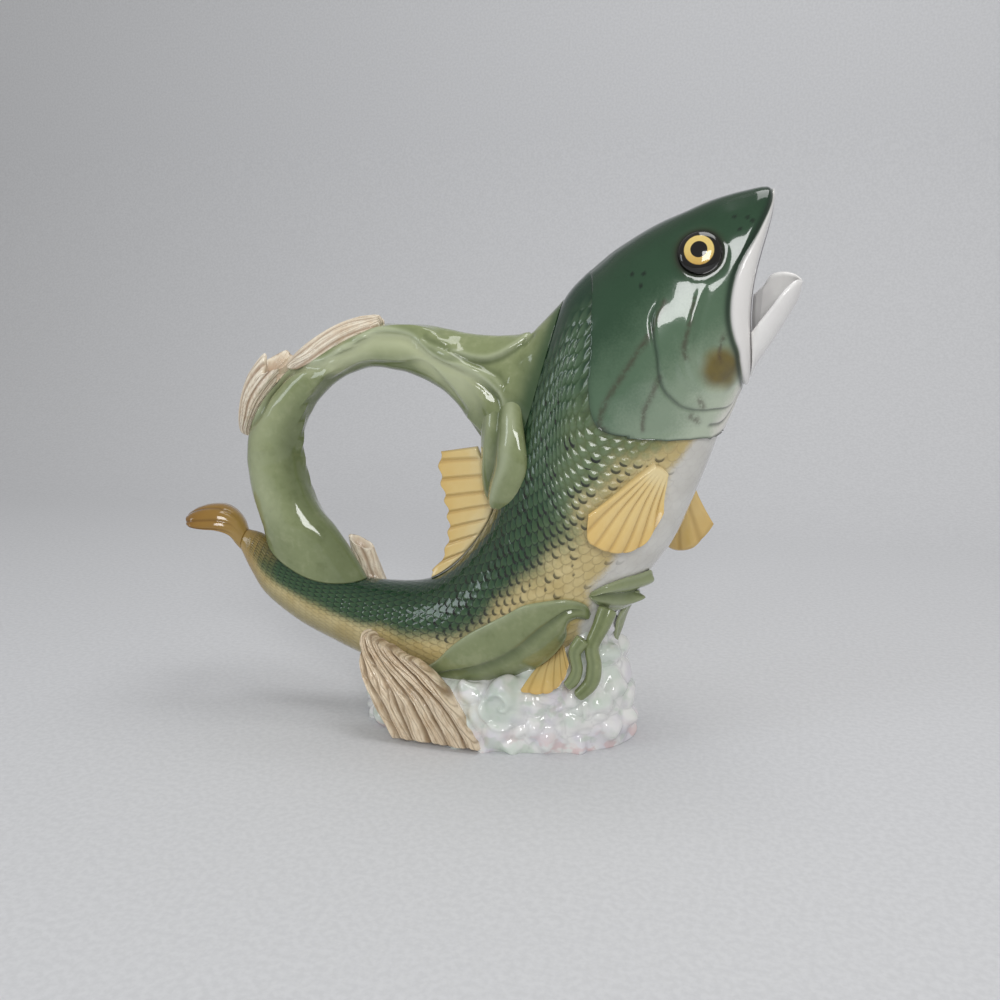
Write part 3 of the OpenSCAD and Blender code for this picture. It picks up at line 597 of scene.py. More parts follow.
# Relief on the head in millimetres: how high it is, and how wide
HEAD_FORMS = {
    "cheek_groove": (-0.75, 1.1), "cheek_swell": (0.9, 7), "plate_ridge": (0.55, 1.6),
    "bone_ridge": (0.8, 2.2), "bone_groove": (-0.5, 1.6), "lip_groove": (-0.9, 1.2),
    "throat_groove": (-0.9, 1.1), "socket_rim": (0.5, 2.2), "socket": (-0.5, 8),
}
BONE_GROOVE_OFF, LIP_RISE, SOCKET_RIM_OFF, HEAD_WAVES = 3.2, 0.6, 11.5, 0.35
# The dark bars of the cheek with their half widths, the spots of the head and the golden patch
BARS = [([(15.9, 17), (15.5, 9), (15.1, 5), (14.7, 2), (14.45, 0), (14.15, -5), (14.1, -9)], 1.5),
        ([(15.2, -13), (14.9, -16), (14.6, -19), (14.4, -22), (14.2, -25)], 1.3),
        ([(16.6, 10), (16.4, 3), (16.2, -3), (15.9, -10), (15.8, -16)], 1.3),
        ([(17.6, -17), (17.2, -21), (16.9, -26), (16.7, -32)], 1.2),
        ([(15.1, -41), (14.9, -46)], 1.6),
        ([(14.5, -44), (14.3, -50)], 1.8)]
HEAD_SPOTS = [(17.6, 50), (18.1, 47), (17.9, 40), (15.6, 38), (15.35, 42), (15.5, 33), (18.6, 44)]
GOLD_PLACE, GOLD_STRETCH = (16.6, -38), np.array([1, 1, 1.1])
# The section at which the gill cover ends, at each turn
GILL_LINE = [(-90, 14.35), (-66, 13.5), (-50, 13.42), (-39, 13.5), (-28, 13.78), (-21, 14.0),
             (-6, 14.08), (9, 14.28), (24, 14.4), (45, 14.35), (75, 14.2), (90, 14.2)]


def even_rows():
    """Sections of the fish at even steps along its side."""
    fine = np.linspace(0, MOUTH, LINE_STEPS)
    steps = sum(np.linalg.norm(np.diff(skin(fine, turn), axis=0), axis=1) for turn in (-50, 0, 60)) / 3
    gone = np.concatenate([[0], np.cumsum(steps)])
    places = np.interp(np.linspace(0, gone[-1], BODY_ROWS), gone, fine)
    return places[np.abs(places - GILL) > 0.03], fine, gone


def scale_lattice(tt, t, up, fine, gone):
    """Places on the fish counted in scales, along it and down its side."""
    size = np.interp(fine, [0, BELLY_SECTION], [SCALE_AT_TAIL, SCALE_AT_BELLY])
    counted = np.concatenate([[0], np.cumsum(np.diff(gone) / size[1:])])
    halves = np.linspace(90, -90, 181)
    arc = np.linalg.norm(np.diff(skin(t[:, None], halves[None, :]), axis=1), axis=-1)
    arc = np.concatenate([np.zeros((len(t), 1)), np.cumsum(arc, 1)], 1)
    arc = arc / arc[:, -1:]
    down = np.stack([np.interp(-up[i], -halves, arc[i]) for i in range(len(t))])
    return np.interp(tt, fine, counted), down * SCALES_ROUND / 2


def scale_pattern(p, q):
    """For places counted in scales: the way from a scale's free edge, the way off its middle line,
    and the way past the edge of the next scale."""
    k = np.floor(p)
    f = p - k

    def arc(row):
        shifted = q - 0.5 * (row % 2)
        x = shifted - np.floor(shifted) - 0.5
        return np.sqrt(np.clip(1 - (2 * x) ** 2, 0, 1)), x

    c1, x1 = arc(k + 1)
    c0, x0 = arc(k)
    edge = f - (1 - c1)
    return np.where(edge >= 0, edge, f + c0), np.where(edge >= 0, x1, x0), edge


def form(name, distance):
    """The relief of one of the head's forms at a distance from its line."""
    high, wide = HEAD_FORMS[name]
    return high * hill(distance, wide)


def head_relief(fields, lip):
    """Plates, ridges and grooves of the head."""
    cheek, cheek_f = fields["cheek"]
    bone, bone_f = fields["bone"]
    ridge, ridge_f = fields["ridge"]
    throat, throat_f = fields["throat"]
    swell = ease(-0.3, 2.2, np.abs(cheek)) * form("cheek_swell", cheek) * (cheek > 0)
    bones = form("bone_ridge", bone) + form("bone_groove", bone - BONE_GROOVE_OFF)
    return (fade_ends(cheek_f, 0.12) * (form("cheek_groove", cheek) + swell) + fade_ends(bone_f, 0.2) * bones
            + fade_ends(ridge_f, 0.3) * form("plate_ridge", ridge)
            + form("lip_groove", fields["lip"][0]) + LIP_RISE * lip
            + form("throat_groove", throat) * ease(0, 0.1, throat_f))


def inner_wall(cols):
    """The rounded inner edge of the mouth and the wall of the cavity."""
    edge, deep, run = 6, 60, 8
    t = np.concatenate([np.full(edge, MOUTH - 1e-6), np.linspace(MOUTH - 0.1, CAVITY_END, deep)])
    bend = np.sin(np.linspace(0.15, 1, edge) * np.pi / 2)
    rise = np.concatenate([-mix(RIM_T / 2, RIM_T, bend), np.full(deep, -WALL)])
    rise[edge:edge + run] = np.linspace(-RIM_T - 0.1, -WALL, run)
    tt, aa = np.meshgrid(t, cols, indexing="ij")
    return skin(tt, aa, np.broadcast_to(rise[:, None], tt.shape))


def build_fish(material):
    """The hollow fish, with its scales, its gill cover and the plates of its head."""
    places, fine, gone = even_rows()
    cols = turns(BODY_SIDES) - 90
    t = np.concatenate([places[places < GILL], GILL - STEP_RUN + STEP_RUN * STEP_SHARES,
                        places[places > GILL]])
    step = np.concatenate([np.zeros((places < GILL).sum()), STEP_SHARES, np.ones((places > GILL).sum())])
    tt, aa = np.meshgrid(t, cols, indexing="ij")
    up = upward(aa)
    warped = tt + (read_off(GILL_LINE, up) - GILL) * hill(tt - GILL, GILL_PULL)
    plain = skin(warped, aa, 0.0, tt)
    seat = cover(np.maximum(tt, GILL), aa) * step[:, None] - cover(tt, aa)
    side = plain * np.array([1, 0, 1]) - np.abs(plain[..., 1:2]) * np.array([0, 1, 0])
    right = skin(warped, up, 0.0, tt)
    normal = normals_of(right, False)
    normal = normal * np.sign((normal * (right - right.mean(1, keepdims=True))).sum(-1, keepdims=True))

    # Where each colour and each kind of scale lies
    trunk = (tt < GILL).astype(float)
    head = 1 - trunk
    above = up - read_off(YELLOW_TURN, tt)
    wander = noise(side, 14, 1) * 5
    yellow = ease(24, -16, above + wander) * trunk
    white = ease(12, -12, up - read_off(WHITE_TURN, tt) + wander) * trunk
    nape = ease(10.2, 11.8, tt) * trunk * ease(-14, 6, above)
    scaly = (trunk * ease(0.15, 1.0, tt) * (1 - 0.75 * white) * (1 - 0.35 * yellow)
             * (1 - 0.45 * ease(30, 62, up)) * (1 - ease(11.6, 13.0, tt) * ease(38, 60, up)))
    p, q = scale_lattice(tt, t, up, fine, gone)
    s, x, edge = scale_pattern(p, q)
    saw = (1 - 0.55 * s) * ease(-0.02, 0.16, np.where(edge >= 0, s, 1))
    grain = np.clip(1 - (2.5 * x) ** 2 - (1.9 * (s - 0.52)) ** 2, 0, 1)
    relief = scaly * mix(SCALE_RELIEF * saw, PEBBLE_RELIEF * grain + 0.1 * saw, nape * 0.85)

    # The head, the socket round the eye, and the rounded edge of the mouth
    fields = {key: line_field(right, normal, path_on(skin, line)) for key, line in HEAD_LINES.items()}
    lip_d = fields["lip"][0]
    lip = ease(-0.6, 0.6, lip_d) * head * (np.abs(lip_d) < FAR)
    lip = np.maximum(lip, ease(20.3, 20.6, tt) * (up < 62))
    relief += head * head_relief(fields, lip)
    from_eye = np.linalg.norm(right - skin(*EYE_PLACE), axis=-1)
    relief += form("socket_rim", from_eye - SOCKET_RIM_OFF) + form("socket", from_eye)
    relief += head * HEAD_WAVES * noise(side, 13, 3)
    passed = np.interp(tt, fine, gone)
    relief -= RIM_T / 2 * round_over(1 - (gone[-1] - passed) / (RIM_T / 2))
    outer = skin(warped, aa, relief + seat, tt)
    inner = inner_wall(cols)

    # Marks for the painted lines, bars and spots
    bars = np.zeros_like(tt)
    for line, width in BARS:
        distance, _ = line_field(right, normal, path_on(skin, line), 8.0)
        bars = np.maximum(bars, hill(distance, width * (1 + 0.3 * noise(side, 3, 5))) * head)
    spots = np.zeros_like(tt)
    for n, place in enumerate(HEAD_SPOTS):
        distance = np.linalg.norm(right - skin(*place), axis=-1)
        spots = np.maximum(spots, ease(1.35, 0.75, distance + 0.35 * noise(side, 1.2, 7 + n)))
    from_gold = np.linalg.norm((right - skin(*GOLD_PLACE)) * GOLD_STRETCH, axis=-1)
    cheek, cheek_f = fields["cheek"]
    throat, throat_f = fields["throat"]
    line = np.maximum.reduce([
        head * hill(lip_d + 1.3, 1.7) * 0.95,
        head * 0.7 * hill(cheek, 0.8) * fade_ends(cheek_f, 0.12),
        head * 0.8 * hill(throat, 0.9) * ease(0, 0.1, throat_f),
        hill(passed - np.interp(GILL, fine, gone) + 0.2, 0.9) * ease(58, 30, up)
        * mix(0.3, 1, ease(8, -16, up))])
    marks = {
        "p": p, "q": q, "side": up / 90, "yellow": yellow, "white": white, "scaly": scaly, "nape": nape,
        "bars": bars, "spots": spots, "gold": head * ease(14.5, 6.0, from_gold + 1.2 * noise(side, 5, 12)),
        "halo": ease(11.9, 9.8, from_eye), "warm": hill(from_eye - 10.5, 2.2), "line": line,
        "zone": trunk * hill(above - 14, 26) * ease(6.0, 7.4, tt) * ease(13.6, 12.4, tt),
        "tail": ease(2.5, 0.5, tt + 0.35 * noise(side, 6, 15)),
        # under is painted shade on the tail's underside
        "under": ease(7.5, 3.5, tt) * ease(6, -40, up), "head": head, "lip": lip, "inside": 0 * tt,
    }
    # The inner wall gets the mark inside, for the painted shade inside the mouth
    within = {key: float(key in ("head", "lip", "inside")) for key in marks}
    marks = {key: np.concatenate([mark, np.full(inner.shape[:2], within[key])])
             for key, mark in marks.items()}
    return tube_piece("fish_skin", np.concatenate([outer, inner]), marks, material, "fish_body")


def fish_glaze():
    """Green, yellow and white glaze with scales and the painted lines of the head, with painted shade on the
    tail's underside, under the scales' edges and inside the mouth.
    """
    g = Paint("fish_glaze")
    p, q, side, head = g.mark("p"), g.mark("q"), g.mark("side"), g.mark("head")
    scaly, nape, yellow, white = g.mark("scaly"), g.mark("nape"), g.mark("yellow"), g.mark("white")
    mist = g.noise(1.1, 2.0)
    cloud = g.noise(16, 3.0)

    # The same scales as the relief, worked out for each point of the surface
    k = g.math("FLOOR", p)
    f = p - k

    def arc(row):
        shifted = q - g.math("MODULO", row, 2.0) * 0.5
        x = g.math("FRACT", shifted) - 0.5
        high = g.math("MAXIMUM", 1.0 - (x * 2.0) * (x * 2.0), 0.0)
        return g.math("SQRT", high), x, g.math("FLOOR", shifted)

    c1, x1, j1 = arc(k + 1.0)
    c0, x0, j0 = arc(k)
    edge = f - (1.0 - c1)
    upper = g.math("GREATER_THAN", edge, 0.0)

    def choose(a, b):
        return upper * a + (1.0 - upper) * b

    s, x = choose(edge, f + c0), choose(x1, x0)
    slope = x1 * 4.0 / g.math("MAXIMUM", c1, 0.22)
    gap = edge / g.math("SQRT", 1.0 + slope * slope)
    rim = g.ease(-0.15, -0.015, gap) * (1.0 - g.ease(0.01, 0.10, gap))
    body = (1.0 - s * 0.5) * g.ease(0.0, 0.16, s)
    along_s = (s - 0.52) * 1.7
    pebble = g.math("MAXIMUM", 1.0 - (x * 2.1) * (x * 2.1) - along_s * along_s, 0.0)
    chance = g.chance(upper + k, choose(j1, j0))
    dash = (g.math("GREATER_THAN", g.mark("zone") * 0.62, chance) * g.ease(0.50, 0.26, s)
            * g.ease(0.42, 0.26, g.math("ABSOLUTE", x)))

    height = side * 0.5 + 0.5 + (cloud - 0.5) * 0.14 + (mist - 0.5) * 0.05
    back = g.ramp(height, (0.30, 128, 130, 82), (0.46, 104, 118, 80), (0.62, 46, 76, 52), (0.86, 26, 56, 40))
    height = side * 0.5 + 0.5 + (cloud - 0.5) * 0.10 + (mist - 0.5) * 0.06
    cheek = g.ramp(height, (0.06, 232, 230, 222), (0.19, 182, 194, 174), (0.34, 134, 152, 130),
                   (0.50, 88, 114, 90), (0.68, 44, 74, 52), (0.92, 26, 54, 35))
    flank = g.ramp(cloud, (0.3, 192, 172, 116), (0.7, 212, 196, 146))
    belly = g.ramp(cloud, (0.3, 204, 202, 196), (0.7, 216, 215, 210))
    gold = g.ramp(cloud, (0.3, 88, 72, 8), (0.7, 116, 96, 18))
    # The inside of the mouth is a greyer white: painted shade
    inside = g.ramp(cloud, (0.3, 190, 187, 190), (0.7, 206, 204, 206))
    # The dark rims under the scales' free edges are partly the scales' painted lines and partly painted
    # shade
    ink_and_shade = g.blend(g.ease(0.25, 0.8, yellow), rgb(14, 34, 24), rgb(146, 126, 80))
    ink_and_shade = g.blend(white, ink_and_shade, rgb(178, 172, 180))
    edges = rim * scaly * (1.0 - nape * 0.8) * (0.76 - yellow * 0.36) * g.ease(0.25, 0.5, mist + 0.15)
    colour = g.layers(
        g.blend(head, back, cheek),
        (g.ease(0.1, 0.9, yellow + (mist - 0.5) * 0.4), flank),
        (g.ease(0.2, 0.8, white + (mist - 0.5) * 0.3), belly),
        # painted shade on the tail's underside
        (g.mark("under") * 0.65, rgb(122, 116, 78)),
        (g.mark("tail") * 0.85, rgb(168, 138, 78)),
        ((1.0 - s) * scaly * (1.0 - yellow) * (1.0 - head) * 0.3, rgb(94, 120, 74)),
        (pebble * nape * scaly * 0.4, rgb(112, 136, 108)),
        (edges, ink_and_shade),
        (dash * scaly, rgb(16, 24, 18)),
        (g.mark("gold") * 0.9, gold),
        (g.mark("bars") * g.ease(0.2, 0.6, g.noise(2.2, 3.0)) * 0.6, rgb(66, 48, 40)),
        (g.mark("warm") * 0.5, rgb(46, 32, 18)),
        (g.mark("halo"), rgb(14, 11, 10)),
        (g.mark("spots") * 0.85, rgb(16, 34, 24)),
        (g.mark("lip"), rgb(236, 234, 232)),
        (g.mark("line") * 0.9, rgb(18, 40, 28)),
        (g.mark("inside"), inside))
    height = scaly * (body * (1.0 - nape) * 0.30 + pebble * nape * 0.35) + (mist - 0.5) * 0.02
    return g.finish(colour, height)


# The jaw: its near edge, its keel and its far edge as shares of length and height, and its half width
JAW_ROWS = [
    [0.381, 0.781, 0.379, 0.704, 0.384, 0.840, 0.215],
    [0.396, 0.805, 0.399, 0.742, 0.394, 0.858, 0.212],
    [0.412, 0.832, 0.417, 0.780, 0.410, 0.863, 0.200],
    [0.427, 0.848, 0.429, 0.807, 0.426, 0.859, 0.165],
    [0.437, 0.847, 0.435, 0.822, 0.436, 0.850, 0.090],
]
JAW_NEAR_TURN, JAW_FAR_TURN, JAW_EDGE = -28.0, -178.0, 2.6


def build_jaw(material):
    """The scoop of the lower jaw, with a thick rounded lip."""
    size = np.array([LENGTH, HEIGHT])
    shape = (110, 150)

    def place(u, v, inset):
        turn = mix(JAW_NEAR_TURN, JAW_FAR_TURN, v)
        rim = skin(np.full_like(v, MOUTH - 1e-6), turn, -inset * RIM_T / JAW_T) + np.array([SEAM, 0, 0])
        row = along(JAW_ROWS, np.maximum(u * len(JAW_ROWS) - 1, 0))
        near, keel, far = row[..., 0:2] * size, row[..., 2:4] * size, row[..., 4:6] * size
        side = mix(near, far, ease(0.35, 0.65, v)[..., None])
        low = keel + unit((near + far) / 2 - keel) * inset[..., None]
        q = low + (side - low) * round_over(np.abs(np.cos(np.pi * v)))[..., None]
        scoop = np.stack([q[..., 0], -(row[..., 6] * BELLY_W - inset) * np.cos(np.pi * v), q[..., 1]], -1)
        return mix(rim, scoop, ease(0, 1, u * len(JAW_ROWS))[..., None])

    return plate_piece("jaw_scoop", place, np.full(shape, JAW_T), np.zeros(shape), shape, JAW_EDGE, {},
                       material, "lower_jaw")


def jaw_glaze():
    """Plain white, hardly clouded."""
    g = Paint("jaw_glaze")
    colour = g.ramp(g.noise(14, 3.0), (0.3, 236, 234, 233), (0.7, 243, 242, 240))
    return g.finish(colour, rough=0.14, coat=0.7)


# The dome of the eye stands a little less high than the solid, and starts with a small upright edge
EYE_SHARE, EYE_EDGE = 0.84, 0.25
PUPIL, IRIS = (0.385, 0.41), (0.67, 0.715)


def build_eye(name, mirror, material, node):
    """A domed eye on the cheek."""
    rings, sides, wall = 40, 96, 6
    t0, a0 = EYE_PLACE
    middle = skin(t0, a0)
    along_t = (skin(t0 + 0.1, a0) - skin(t0 - 0.1, a0)) / 0.2
    along_a = (skin(t0, a0 + 1) - skin(t0, a0 - 1)) / 2
    e = unit(along_t)
    f = unit(along_a - e * (along_a @ e))
    quarter = np.linspace(0, np.pi / 2, rings)[1:]
    share = np.concatenate([np.linspace(0.3, 1, wall), np.cos(quarter)])
    share[-1] = 0.004
    high = EYE_SHARE * EYE_RISE
    rise = np.concatenate([np.full(wall, SEAM), SEAM + high * mix(EYE_EDGE, 1, np.sin(quarter))])
    angle = turns(sides, 2 * np.pi)
    x = EYE_D / 2 * share[:, None] * np.cos(angle)
    y = EYE_D / 2 * share[:, None] * np.sin(angle)

    # The places of section and turn on the skin that lie at x and y from the middle
    t, a = np.full(x.shape, t0), np.full(x.shape, a0)
    for _ in range(6):
        d = skin(t, a) - middle
        turn = (y - d @ f) / (along_a @ f)
        a = a + turn
        t = t + (x - d @ e - turn * (along_a @ e)) / np.linalg.norm(along_t)
    rows = skin(t, a, np.broadcast_to(rise[:, None], t.shape))
    out = unit(skin(t0, a0, high + SEAM) - middle)
    flat = middle + e * x[..., None] + f * y[..., None] + out * rise[:, None, None]
    rows = mix(flat, rows, ease(0.35, 1.0, share[:, None, None]))
    marks = {"radius": np.broadcast_to(share[:, None], x.shape),
             "low": -(flat[..., 2] - middle[2]) / (EYE_D / 2)}
    if mirror:
        rows = rows * np.array([1, -1, 1])
    return tube_piece(name, rows, marks, material, node)


def eye_glaze():
    """A black pupil, a golden iris that is darker below, and a black ring."""
    g = Paint("eye_glaze")
    grain = g.noise(1.2, 3.0)
    iris = g.ramp(g.mark("low") * 0.6 + 0.4 + (grain - 0.5) * 0.2, (0.25, 226, 200, 122),
                  (0.6, 216, 180, 98), (0.85, 196, 134, 52))
    edge = g.mark("radius") + (grain - 0.5) * 0.015
    colour = g.layers(rgb(14, 12, 12), (g.ease(*PUPIL, edge), iris), (g.ease(*IRIS, edge), rgb(14, 12, 11)))
    return g.finish(colour, rough=0.08, coat=1.0, wave=0.0)


# Fins

RIGHT_PECTORAL = [[12.80, -37, 11.70, -12, 1], [12.74, -38, 11.15, -13, 1], [12.70, -39.5, 10.98, -20, 1],
                  [12.66, -41, 10.90, -28, 1], [12.60, -42.5, 10.92, -36, 1], [12.54, -44, 11.14, -42.5, 1],
                  [12.48, -45, 11.75, -46, 1]]
LEFT_PECTORAL = [[12.95, -46, 12.85, -36, 1], [12.86, -47, 12.10, -27, 1], [12.76, -48, 11.15, -28, 1],
                 [12.64, -50, 10.72, -37, 1], [12.52, -52, 10.60, -49, 1], [12.42, -54, 10.85, -60, 1],
                 [12.34, -56, 11.50, -66, 1]]
PELVIC = [[8.74, -48, 8.76, -44, 0.60], [8.68, -50, 8.62, -45, 0.78], [8.60, -52, 8.44, -46, 0.90],
          [8.48, -54, 8.22, -47, 0.95], [8.36, -57, 8.02, -45, 0.86], [8.22, -61, 7.84, -42, 0.68]]
DORSAL_ROOT = [6.35, 6.95, 7.6, 8.2, 8.75, 9.2, 9.5, 9.7]
DORSAL_EDGE = [[-0.112, 0.298], [-0.094, 0.330], [-0.085, 0.373], [-0.086, 0.412], [-0.091, 0.445],
               [-0.097, 0.480], [-0.099, 0.508], [-0.097, 0.533]]
DORSAL_LEAVE, DORSAL_CORNER = 0.86, (-0.036, 0.546)
DORSAL_RIB_LEVELS = np.array([0.256, 0.286, 0.316, 0.347, 0.378, 0.410, 0.443, 0.478, 0.514, 0.553])
FIN_TAPER = 0.45
# The rays of the side fins: how far they bend, stand out and wave, and how wide their edges are round
RAY_BEND, RAY_MIDDLE, RAY_RISE, RAY_WAVE, RAY_EDGE = 0.25, 0.6, 0.8, 0.4, 1.5
# The dorsal fin: the height and middle of its steps, the wave of its edge, its rounding, and how its
# ribs slope at each height, measured from a place along the length
DORSAL_STEP, DORSAL_MIDDLE, DORSAL_WAVE, DORSAL_ROUND = 1.7, 0.3, 0.9, 1.3
DORSAL_SLOPES, DORSAL_PIVOT = [(0.30, 0.60), (0.36, 0.42), (0.46, 0.18), (0.54, 0.08)], 0.099
# The tail: its ribs, the rounding of its end, and how it starts flush with the body
TAIL_ROWS, TAIL_SIDES, TAIL_RIB, TAIL_ROUND, TAIL_ROUND_RUN = 240, 288, 0.7, 1.6, 0.16
TAIL_FLUSH, TAIL_FLUSH_MORE, TAIL_FLUSH_RUN = 0.2, 1.3, 0.14


def ribs(v, count, drift):
    """Rounded ribs with narrow valleys across a fin, and how deep in a valley each place is."""
    x = v * count + drift
    f = np.abs(x - np.floor(x) - 0.5) * 2
    return 1 - f**2, ease(0.6, 1.0, f)


def build_flank_fin(name, edges, spread, count, mirror, material, node):
    """A fan of rays that stands further off the skin towards its outer edge."""
    shape = (90, 220)
    u, v = plate_grid(shape)

    def place(u, v, rise):
        row = along(edges, v * (len(edges) - 1))
        off = spread * row[..., 4] * u**2
        return skin(mix(row[..., 0], row[..., 2], u), mix(row[..., 1], row[..., 3], u), rise + off)

    rib, valley = ribs(v, count, RAY_BEND * np.sin(3 * v + 2 * u))
    strong = ease(0.02, 0.35, u)
    half = FIN_T * (1 - FIN_TAPER * u)
    wave = RAY_WAVE * np.sin(9 * v + 5 * u) * u
    top = SEAM + half + (rib - RAY_MIDDLE) * RAY_RISE * strong + wave
    return plate_piece(name, place, top, np.full(shape, SEAM), shape, RAY_EDGE, {"valley": valley * strong},
                       material, node, mirror)


def rib_phase(point):
    """The place of a point among the ribs of the dorsal fin, counted from the lowest rib."""
    height = point[..., 2] / HEIGHT
    slope = read_off(DORSAL_SLOPES, height)
    level = height - slope * (point[..., 0] / LENGTH + DORSAL_PIVOT) * LENGTH / HEIGHT
    return np.interp(level, DORSAL_RIB_LEVELS, np.arange(len(DORSAL_RIB_LEVELS)))


def build_dorsal(material):
    """The ribbed fin on the back, from the skin to its free edge."""
    shape = (90, 260)
    u, v = plate_grid(shape)
    n = len(DORSAL_EDGE) - 1
    corner = np.array([DORSAL_CORNER[0] * LENGTH, 0, DORSAL_CORNER[1] * HEIGHT])

    def place(u, v, rise):
        root = skin(along(DORSAL_ROOT, np.minimum(v, DORSAL_LEAVE) * n), 90.0, SEAM)
        root = mix(root, corner, np.clip((v - DORSAL_LEAVE) / (1 - DORSAL_LEAVE), 0, 1)[..., None])
        e = along(DORSAL_EDGE, v * n)
        edge = np.stack([e[..., 0] * LENGTH, np.zeros_like(v), e[..., 1] * HEIGHT], -1)
        point = mix(root, edge, u[..., None])
        wave = DORSAL_WAVE * np.sin(2 * np.pi * rib_phase(point)) * ease(0.8, 1.0, u)
        return point + np.stack([wave, -rise, np.zeros_like(rise)], -1)

    x = rib_phase(place(u, v, np.zeros(shape)))
    f = x - np.floor(x)
    step = ease(0, 0.22, f) * (1 - 0.6 * f) * ease(1.02, 0.8, f)
    valley = np.maximum(ease(0.10, 0.0, f), ease(0.84, 1.0, f))
    strong = ease(0.0, 0.15, u)
    top = FIN_T / 2 * (1 - FIN_TAPER * u) + (step - DORSAL_MIDDLE) * DORSAL_STEP * strong
    return plate_piece("dorsal_blade", place, top, -top, shape, DORSAL_ROUND, {"valley": valley * strong},
                       material, "dorsal_fin")


def build_tail(material):
    """The tail, with ribs that grow towards its rounded end."""
    last = len(TAIL) - 1
    ii, aa = np.meshgrid(np.linspace(0, last, TAIL_ROWS), turns(TAIL_SIDES), indexing="ij")
    share, angle = ii / last, np.radians(aa)
    x = np.abs(np.sin(angle * 5 + 0.7 * np.sin(angle * 2) + 0.8 * share))
    end = round_over((ii - last + TAIL_ROUND_RUN) / TAIL_ROUND_RUN)
    flush = (TAIL_FLUSH + TAIL_FLUSH_MORE * np.abs(np.sin(angle))) * ease(TAIL_FLUSH_RUN, 0.0, share)
    points = grown_section(along(TAIL, ii), aa, TAIL_RIB * x * share**0.5 - TAIL_ROUND * end - flush)
    # valley paints shade into the valleys between the ribs; tip is a pale end, partly a glaze chip and
    # partly a painted glint
    marks = {"valley": ease(0.5, 0.0, x) * ease(0.05, 0.35, share), "share": share,
             "tip": ease(0.985, 1.0, share)}
    return tube_piece("tail_blade", points, marks, material, "tail_fin")


def fin_glaze():
    """Yellow, paler at the root, with painted shade in the valleys between the ribs, and darker along the
    edges.
    """
    g = Paint("fin_glaze")
    valley = g.mark("valley")
    height = g.mark("u") * 0.7 + g.noise(7, 3.0) * 0.3
    colour = g.layers(
        g.ramp(height, (0.10, 234, 216, 166), (0.45, 230, 203, 140), (0.95, 224, 190, 118)),
        # painted shade in the valleys
        (valley * 0.34, rgb(158, 118, 56)),
        (g.mark("brim") * 0.3, rgb(168, 128, 66)))
    return g.finish(colour, (1.0 - valley) * 0.2, rough=0.15)


def tail_glaze():
    """Ochre, darker towards the end, with painted shade in the valleys, and a pale tip that is partly a chip
    in the glaze and partly a painted glint.
    """
    g = Paint("tail_glaze")
    valley = g.mark("valley")
    height = g.mark("share") * 0.75 + g.noise(8, 3.0) * 0.25
    colour = g.layers(
        g.ramp(height, (0.15, 168, 138, 78), (0.5, 152, 116, 54), (0.85, 132, 94, 36)),
        # painted shade in the valleys
        (valley * 0.45, rgb(98, 66, 24)),
        (g.mark("tip"), rgb(214, 206, 192)))
    return g.finish(colour, (1.0 - valley) * 0.2, rough=0.15)


# The kelp ring

RING_ROWS, RING_SIDES, RING_SOFT = 460, 224, 20
SEAT_SHARES = (0.12, 0.4, 0.7, 0.92)
MAIN_FOLD = [(3.25, 74), (4.0, 50), (4.7, 66), (5.45, 66), (5.9, 38), (6.3, 6), (7.05, 10), (7.75, 32),
             (8.25, 36), (8.7, 34), (9.1, 16), (9.6, 4), (10.7, 6), (11.6, 4), (12.4, -2), (13, -14)]
CROSS_FOLD = [(12.5, 6), (11.8, 14), (10.25, 16), (9.35, 26), (9.05, 34)]
NECK_ROOT = [(9.9, 20), (10.8, 26), (11.6, 38), (12.4, 56), (13, 72)]
INNER_HOLLOW = [(10.85, -66), (11.9, -54), (13, -66)]
UNDER_FOLD = [(5.85, -54), (7.2, -36), (8.35, -28), (9.15, -10), (10, -28), (11.05, -48)]
# How far each fold lifts, and how wide it falls away
FOLDS = ((MAIN_FOLD, 1.7, 8.0), (CROSS_FOLD, 0.9, 5.0), (INNER_HOLLOW, 1.0, 5.0), (UNDER_FOLD, 0.7, 7.0),
         (NECK_ROOT, 1.3, 5.0))
MOST_LIFT, FOLD_REACH = 1.7, 14.0


def seat_on_fish(seat, way, share, turn):
    """A ring of points on the skin, at a share of the size of a seat of the kelp ring."""
    turn = np.radians(turn)
    return skin(seat[0] + way * seat[1] * share * np.sin(turn), 90 - seat[2] * share * np.cos(turn), SEAM)


def ring_tube(turn):
    """The ring without its folds, from the seat near the tail to the seat on the neck."""
    middle = [ring_point(i / 2, turn) for i in range(2 * len(RING) - 1)]
    base = np.stack([seat_on_fish(TAIL_SEAT, -1, 1.0, turn), *middle, seat_on_fish(NECK_SEAT, 1, 1.0, turn)])
    places = np.linspace(0, len(base) - 1, RING_ROWS)
    rows = along(base, places)
    soft = np.concatenate([rows[:1]] * RING_SOFT + [rows] + [rows[-1:]] * RING_SOFT)
    soft = np.stack([soft[i:i + 2 * RING_SOFT + 1].mean(0) for i in range(RING_ROWS)])
    return mix(rows, soft, (ease(0.1, 0.6, places) * ease(4.0, 2.2, places))[:, None, None]), places


def ring_folds(rows, normal):
    """The relief of the folds, and how much each place lies in their shade and their light."""
    relief, shade, light = (np.zeros(rows.shape[:2]) for _ in range(3))
    for line, lift, width in FOLDS:
        near, f = line_field(rows, normal, path_on(ring_point, line), FOLD_REACH)
        ends, step = fade_ends(f, 0.08), ease(-1.1, 0.9, near)
        relief += ends * lift * (hill(np.maximum(near - 1.2, 0), width) * step
                                 - 0.55 * hill(near + 2.4, 2.0) - 0.1 * step)
        shade = np.maximum(shade, ends * hill(near + 1.7, 1.5) * lift / MOST_LIFT)
        light = np.maximum(light, ends * hill(near - 1.0, 1.4) * lift / MOST_LIFT)
    return relief, shade, light


